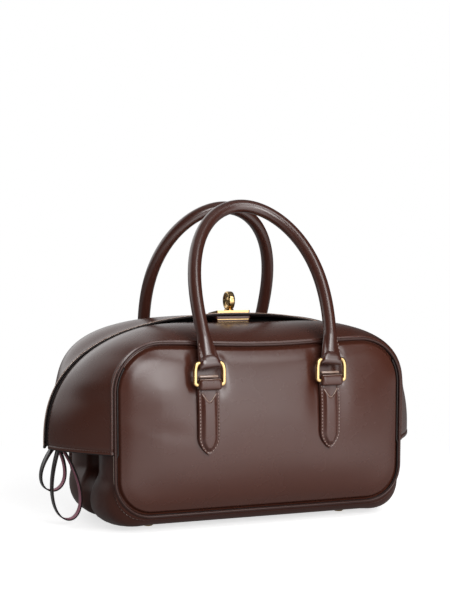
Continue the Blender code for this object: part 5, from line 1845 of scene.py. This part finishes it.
zip_x, zip_z = under_ridge(resample(RIDGE, np.linspace(0.0, 1.0, ZIP_POINTS)), ZIP_DROP)
keep = ~((zip_x < 0) & (zip_z < ZIP_END + 0.001))
tooth_paths = []
for y, shift in ((-0.0011, 0.0), (0.0011, TOOTH_PITCH / 2)):
    run = np.stack([zip_x[keep], np.full(keep.sum(), y), zip_z[keep]], axis=1)
    length = run_length(run)
    tooth_paths.append(read_run(run, length, np.arange(shift, length[-1] - 0.002, 0.004)))
values = {"Pitch": TOOTH_PITCH, "Tooth Size": TOOTH, "Material": GOLD}
chain = crease_edges(run_tree("zip_teeth", teeth, tooth_paths, values), 0.0002, 2)
dress(chain, "bag_body", "zip_chain", "zip_chain")
print("faces of the teeth", len(chain.data.polygons))

# %% [markdown]
# A facing is the strip of tape between the teeth and the underside of the top. It hangs in a soft
# bend, so each cross-section is a curve with three handles: at the teeth, level with them farther
# out, and on the leather.

# %% Zip facings
STRIP_ROWS = 260
TAPE_THICKNESS = 0.0009
SHARE_LOW = 0.10
SHARES_PER_UNIT = 200
LEVEL_SHARE = 0.17
JOIN_SHARE = 0.30
CORD_SPACE = 0.0023
ZIP_SEAM_BACK = CORD_SPACE + GAP


def strip_points(side, along, share, inward=0.0):
    """Points on the underside of a top, each at its own share of the way to the seam."""
    shares = np.linspace(SHARE_LOW, 0.60, 101)
    surface = top_surface(side, along, shares, ZIP_SEAM_BACK, inward)
    columns = np.round((share - SHARE_LOW) * SHARES_PER_UNIT).astype(int)
    return surface[np.arange(STRIP_ROWS), columns]


shares_left = np.linspace(0.0, 1.0, ZIP_POINTS)[:60]
along = np.linspace(float(np.interp(ZIP_END, zip_z[:60], shares_left)), 1, STRIP_ROWS)
ridge = resample(RIDGE, along)
start_x, start_z = under_ridge(ridge, ZIP_DROP - 0.0004)
t = np.linspace(0, 1, 14)[None, :, None]
for side in SIDES:
    extra = 0.19 * mouth(ridge[:, 0]) if side == REAR else np.zeros(STRIP_ROWS)
    under = strip_points(side, along, JOIN_SHARE + extra, LEATHER + 3 * GAP)
    level = strip_points(side, along, LEVEL_SHARE + extra)
    start = np.stack([start_x, np.full(STRIP_ROWS, side * 0.0028), start_z], axis=1)
    bend = np.stack([start_x, level[:, 1], start_z], axis=1)
    grid = start[:, None] * (1 - t) ** 2 + 2 * bend[:, None] * t * (1 - t) + under[:, None] * t ** 2
    name = SIDES[side]
    strip = skin(name + "_zip_strip", grid, side, TAPE_THICKNESS, [TAPE, TAPE, TAPE], 2)
    dress(strip, "bag_body", name + "_zip_facing", name + "_zip_facing")
    print(strip.name, len(strip.data.polygons), "faces")

# %% [markdown]
# ## The zip's pull
# The pull is a small wire ring with two loops of strap. A strap loop is a band bent into a drop:
# dark and glossy outside, rose inside, with painted edges. It holds its shape by its own stiffness,
# so no simulation is needed: one drop shape inside another gives the band, and their distance is
# its thickness.

# %% Pull ring
PULL_HALF_HEIGHT = 0.00425
ring_low, ring_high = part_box("pull_ring")
eye_x = (ring_low.x + ring_high.x) / 2
ring_mid = (ring_low.z + ring_high.z) / 2
pull_path = [(eye_x, a, ring_mid + b) for a, b in rounded(0.0122, PULL_HALF_HEIGHT, 0.0025)]
pull = tube("pull_ring_wire", pull_path, (1, 0, 0), 0.0010, GOLD, 14, True)
dress(pull, "pull_ring_body", "pull_ring", "pull_ring")
pivot = Vector((eye_x, 0.0, ring_mid - PULL_HALF_HEIGHT))
print("loops hang from", tuple(round(v, 4) for v in pivot))

# %% Strap loops
LOOP_STEPS = 120
STRAP_WALL = 0.0014
EYE_DROP = 0.0052
EDGE_INSET = 0.0004
DROP_WIDEST = 0.7698


def drop_outline(length, span, start):
    """A drop that hangs from the pivot: pointed above, round below."""
    t = np.linspace(0, 2 * pi, LOOP_STEPS + 1)[:-1]
    fold = np.where(t <= pi, t, 2 * pi - t)
    shape = np.sin(fold) * np.sin(fold / 2)
    a = np.where(t <= pi, 1, -1) * span / 2 * shape / DROP_WIDEST
    return np.stack([a, -start - (length - start) * (1 - np.cos(fold)) / 2], axis=1)


def make_loop(name, length, span, tilt, low, high):
    """A band of strap round a drop, from one width to another along Y."""
    outer = drop_outline(length, span, 0.0)
    inner = drop_outline(length - STRAP_WALL, span - 2 * STRAP_WALL, EYE_DROP)
    edge = outer + (inner - outer) * 0.25
    edge_in = outer + (inner - outer) * 0.75
    wide_low, wide_high = low + EDGE_INSET, high - EDGE_INSET
    layers = [(outer, wide_low), (outer, wide_high), (edge, high), (edge_in, high)]
    layers += [(inner, wide_high), (inner, wide_low), (edge_in, low), (edge, low)]
    turn = Matrix.Rotation(radians(tilt), 3, "Y")
    points = [pivot + turn @ Vector((a, y, b)) for outline, y in layers for a, b in outline]
    faces = []
    kinds = []
    for k, kind in enumerate((0, 1, 1, 1, 2, 1, 1, 1)):
        row, after = k * LOOP_STEPS, (k + 1) % len(layers) * LOOP_STEPS
        for j in range(LOOP_STEPS):
            ahead = (j + 1) % LOOP_STEPS
            faces.append((row + j, row + ahead, after + ahead, after + j))
            kinds.append(kind)
    return mesh_piece(name, points, faces, [LOOP_LEATHER, EDGE_PAINT, LOOP_INSIDE], kinds)


short = make_loop("short_loop_strap", 0.0490, 0.0250, 7.0, 0.0003, 0.0097)
dress(short, "short_pull_loop_body", "short_pull_loop", "short_pull_loop")
long = make_loop("long_loop_strap", 0.0765, 0.0290, -7.0, -0.0097, -0.0003)
dress(long, "long_pull_loop_body", "long_pull_loop", "long_pull_loop")
print("faces of a loop", len(short.data.polygons))

# %% [markdown]
# ## Last pieces
# The slider and the base board keep the frame's own shape and get their finish here. Their meshes
# are already right, so only their materials change.

# %% Finishes for the frame's own pieces
for name, material in (("zip_slider", GOLD), ("base_board", BOARD)):
    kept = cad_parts[name]
    kept.data.materials.clear()
    kept.data.materials.append(material)
    print(name, "is", material.name)
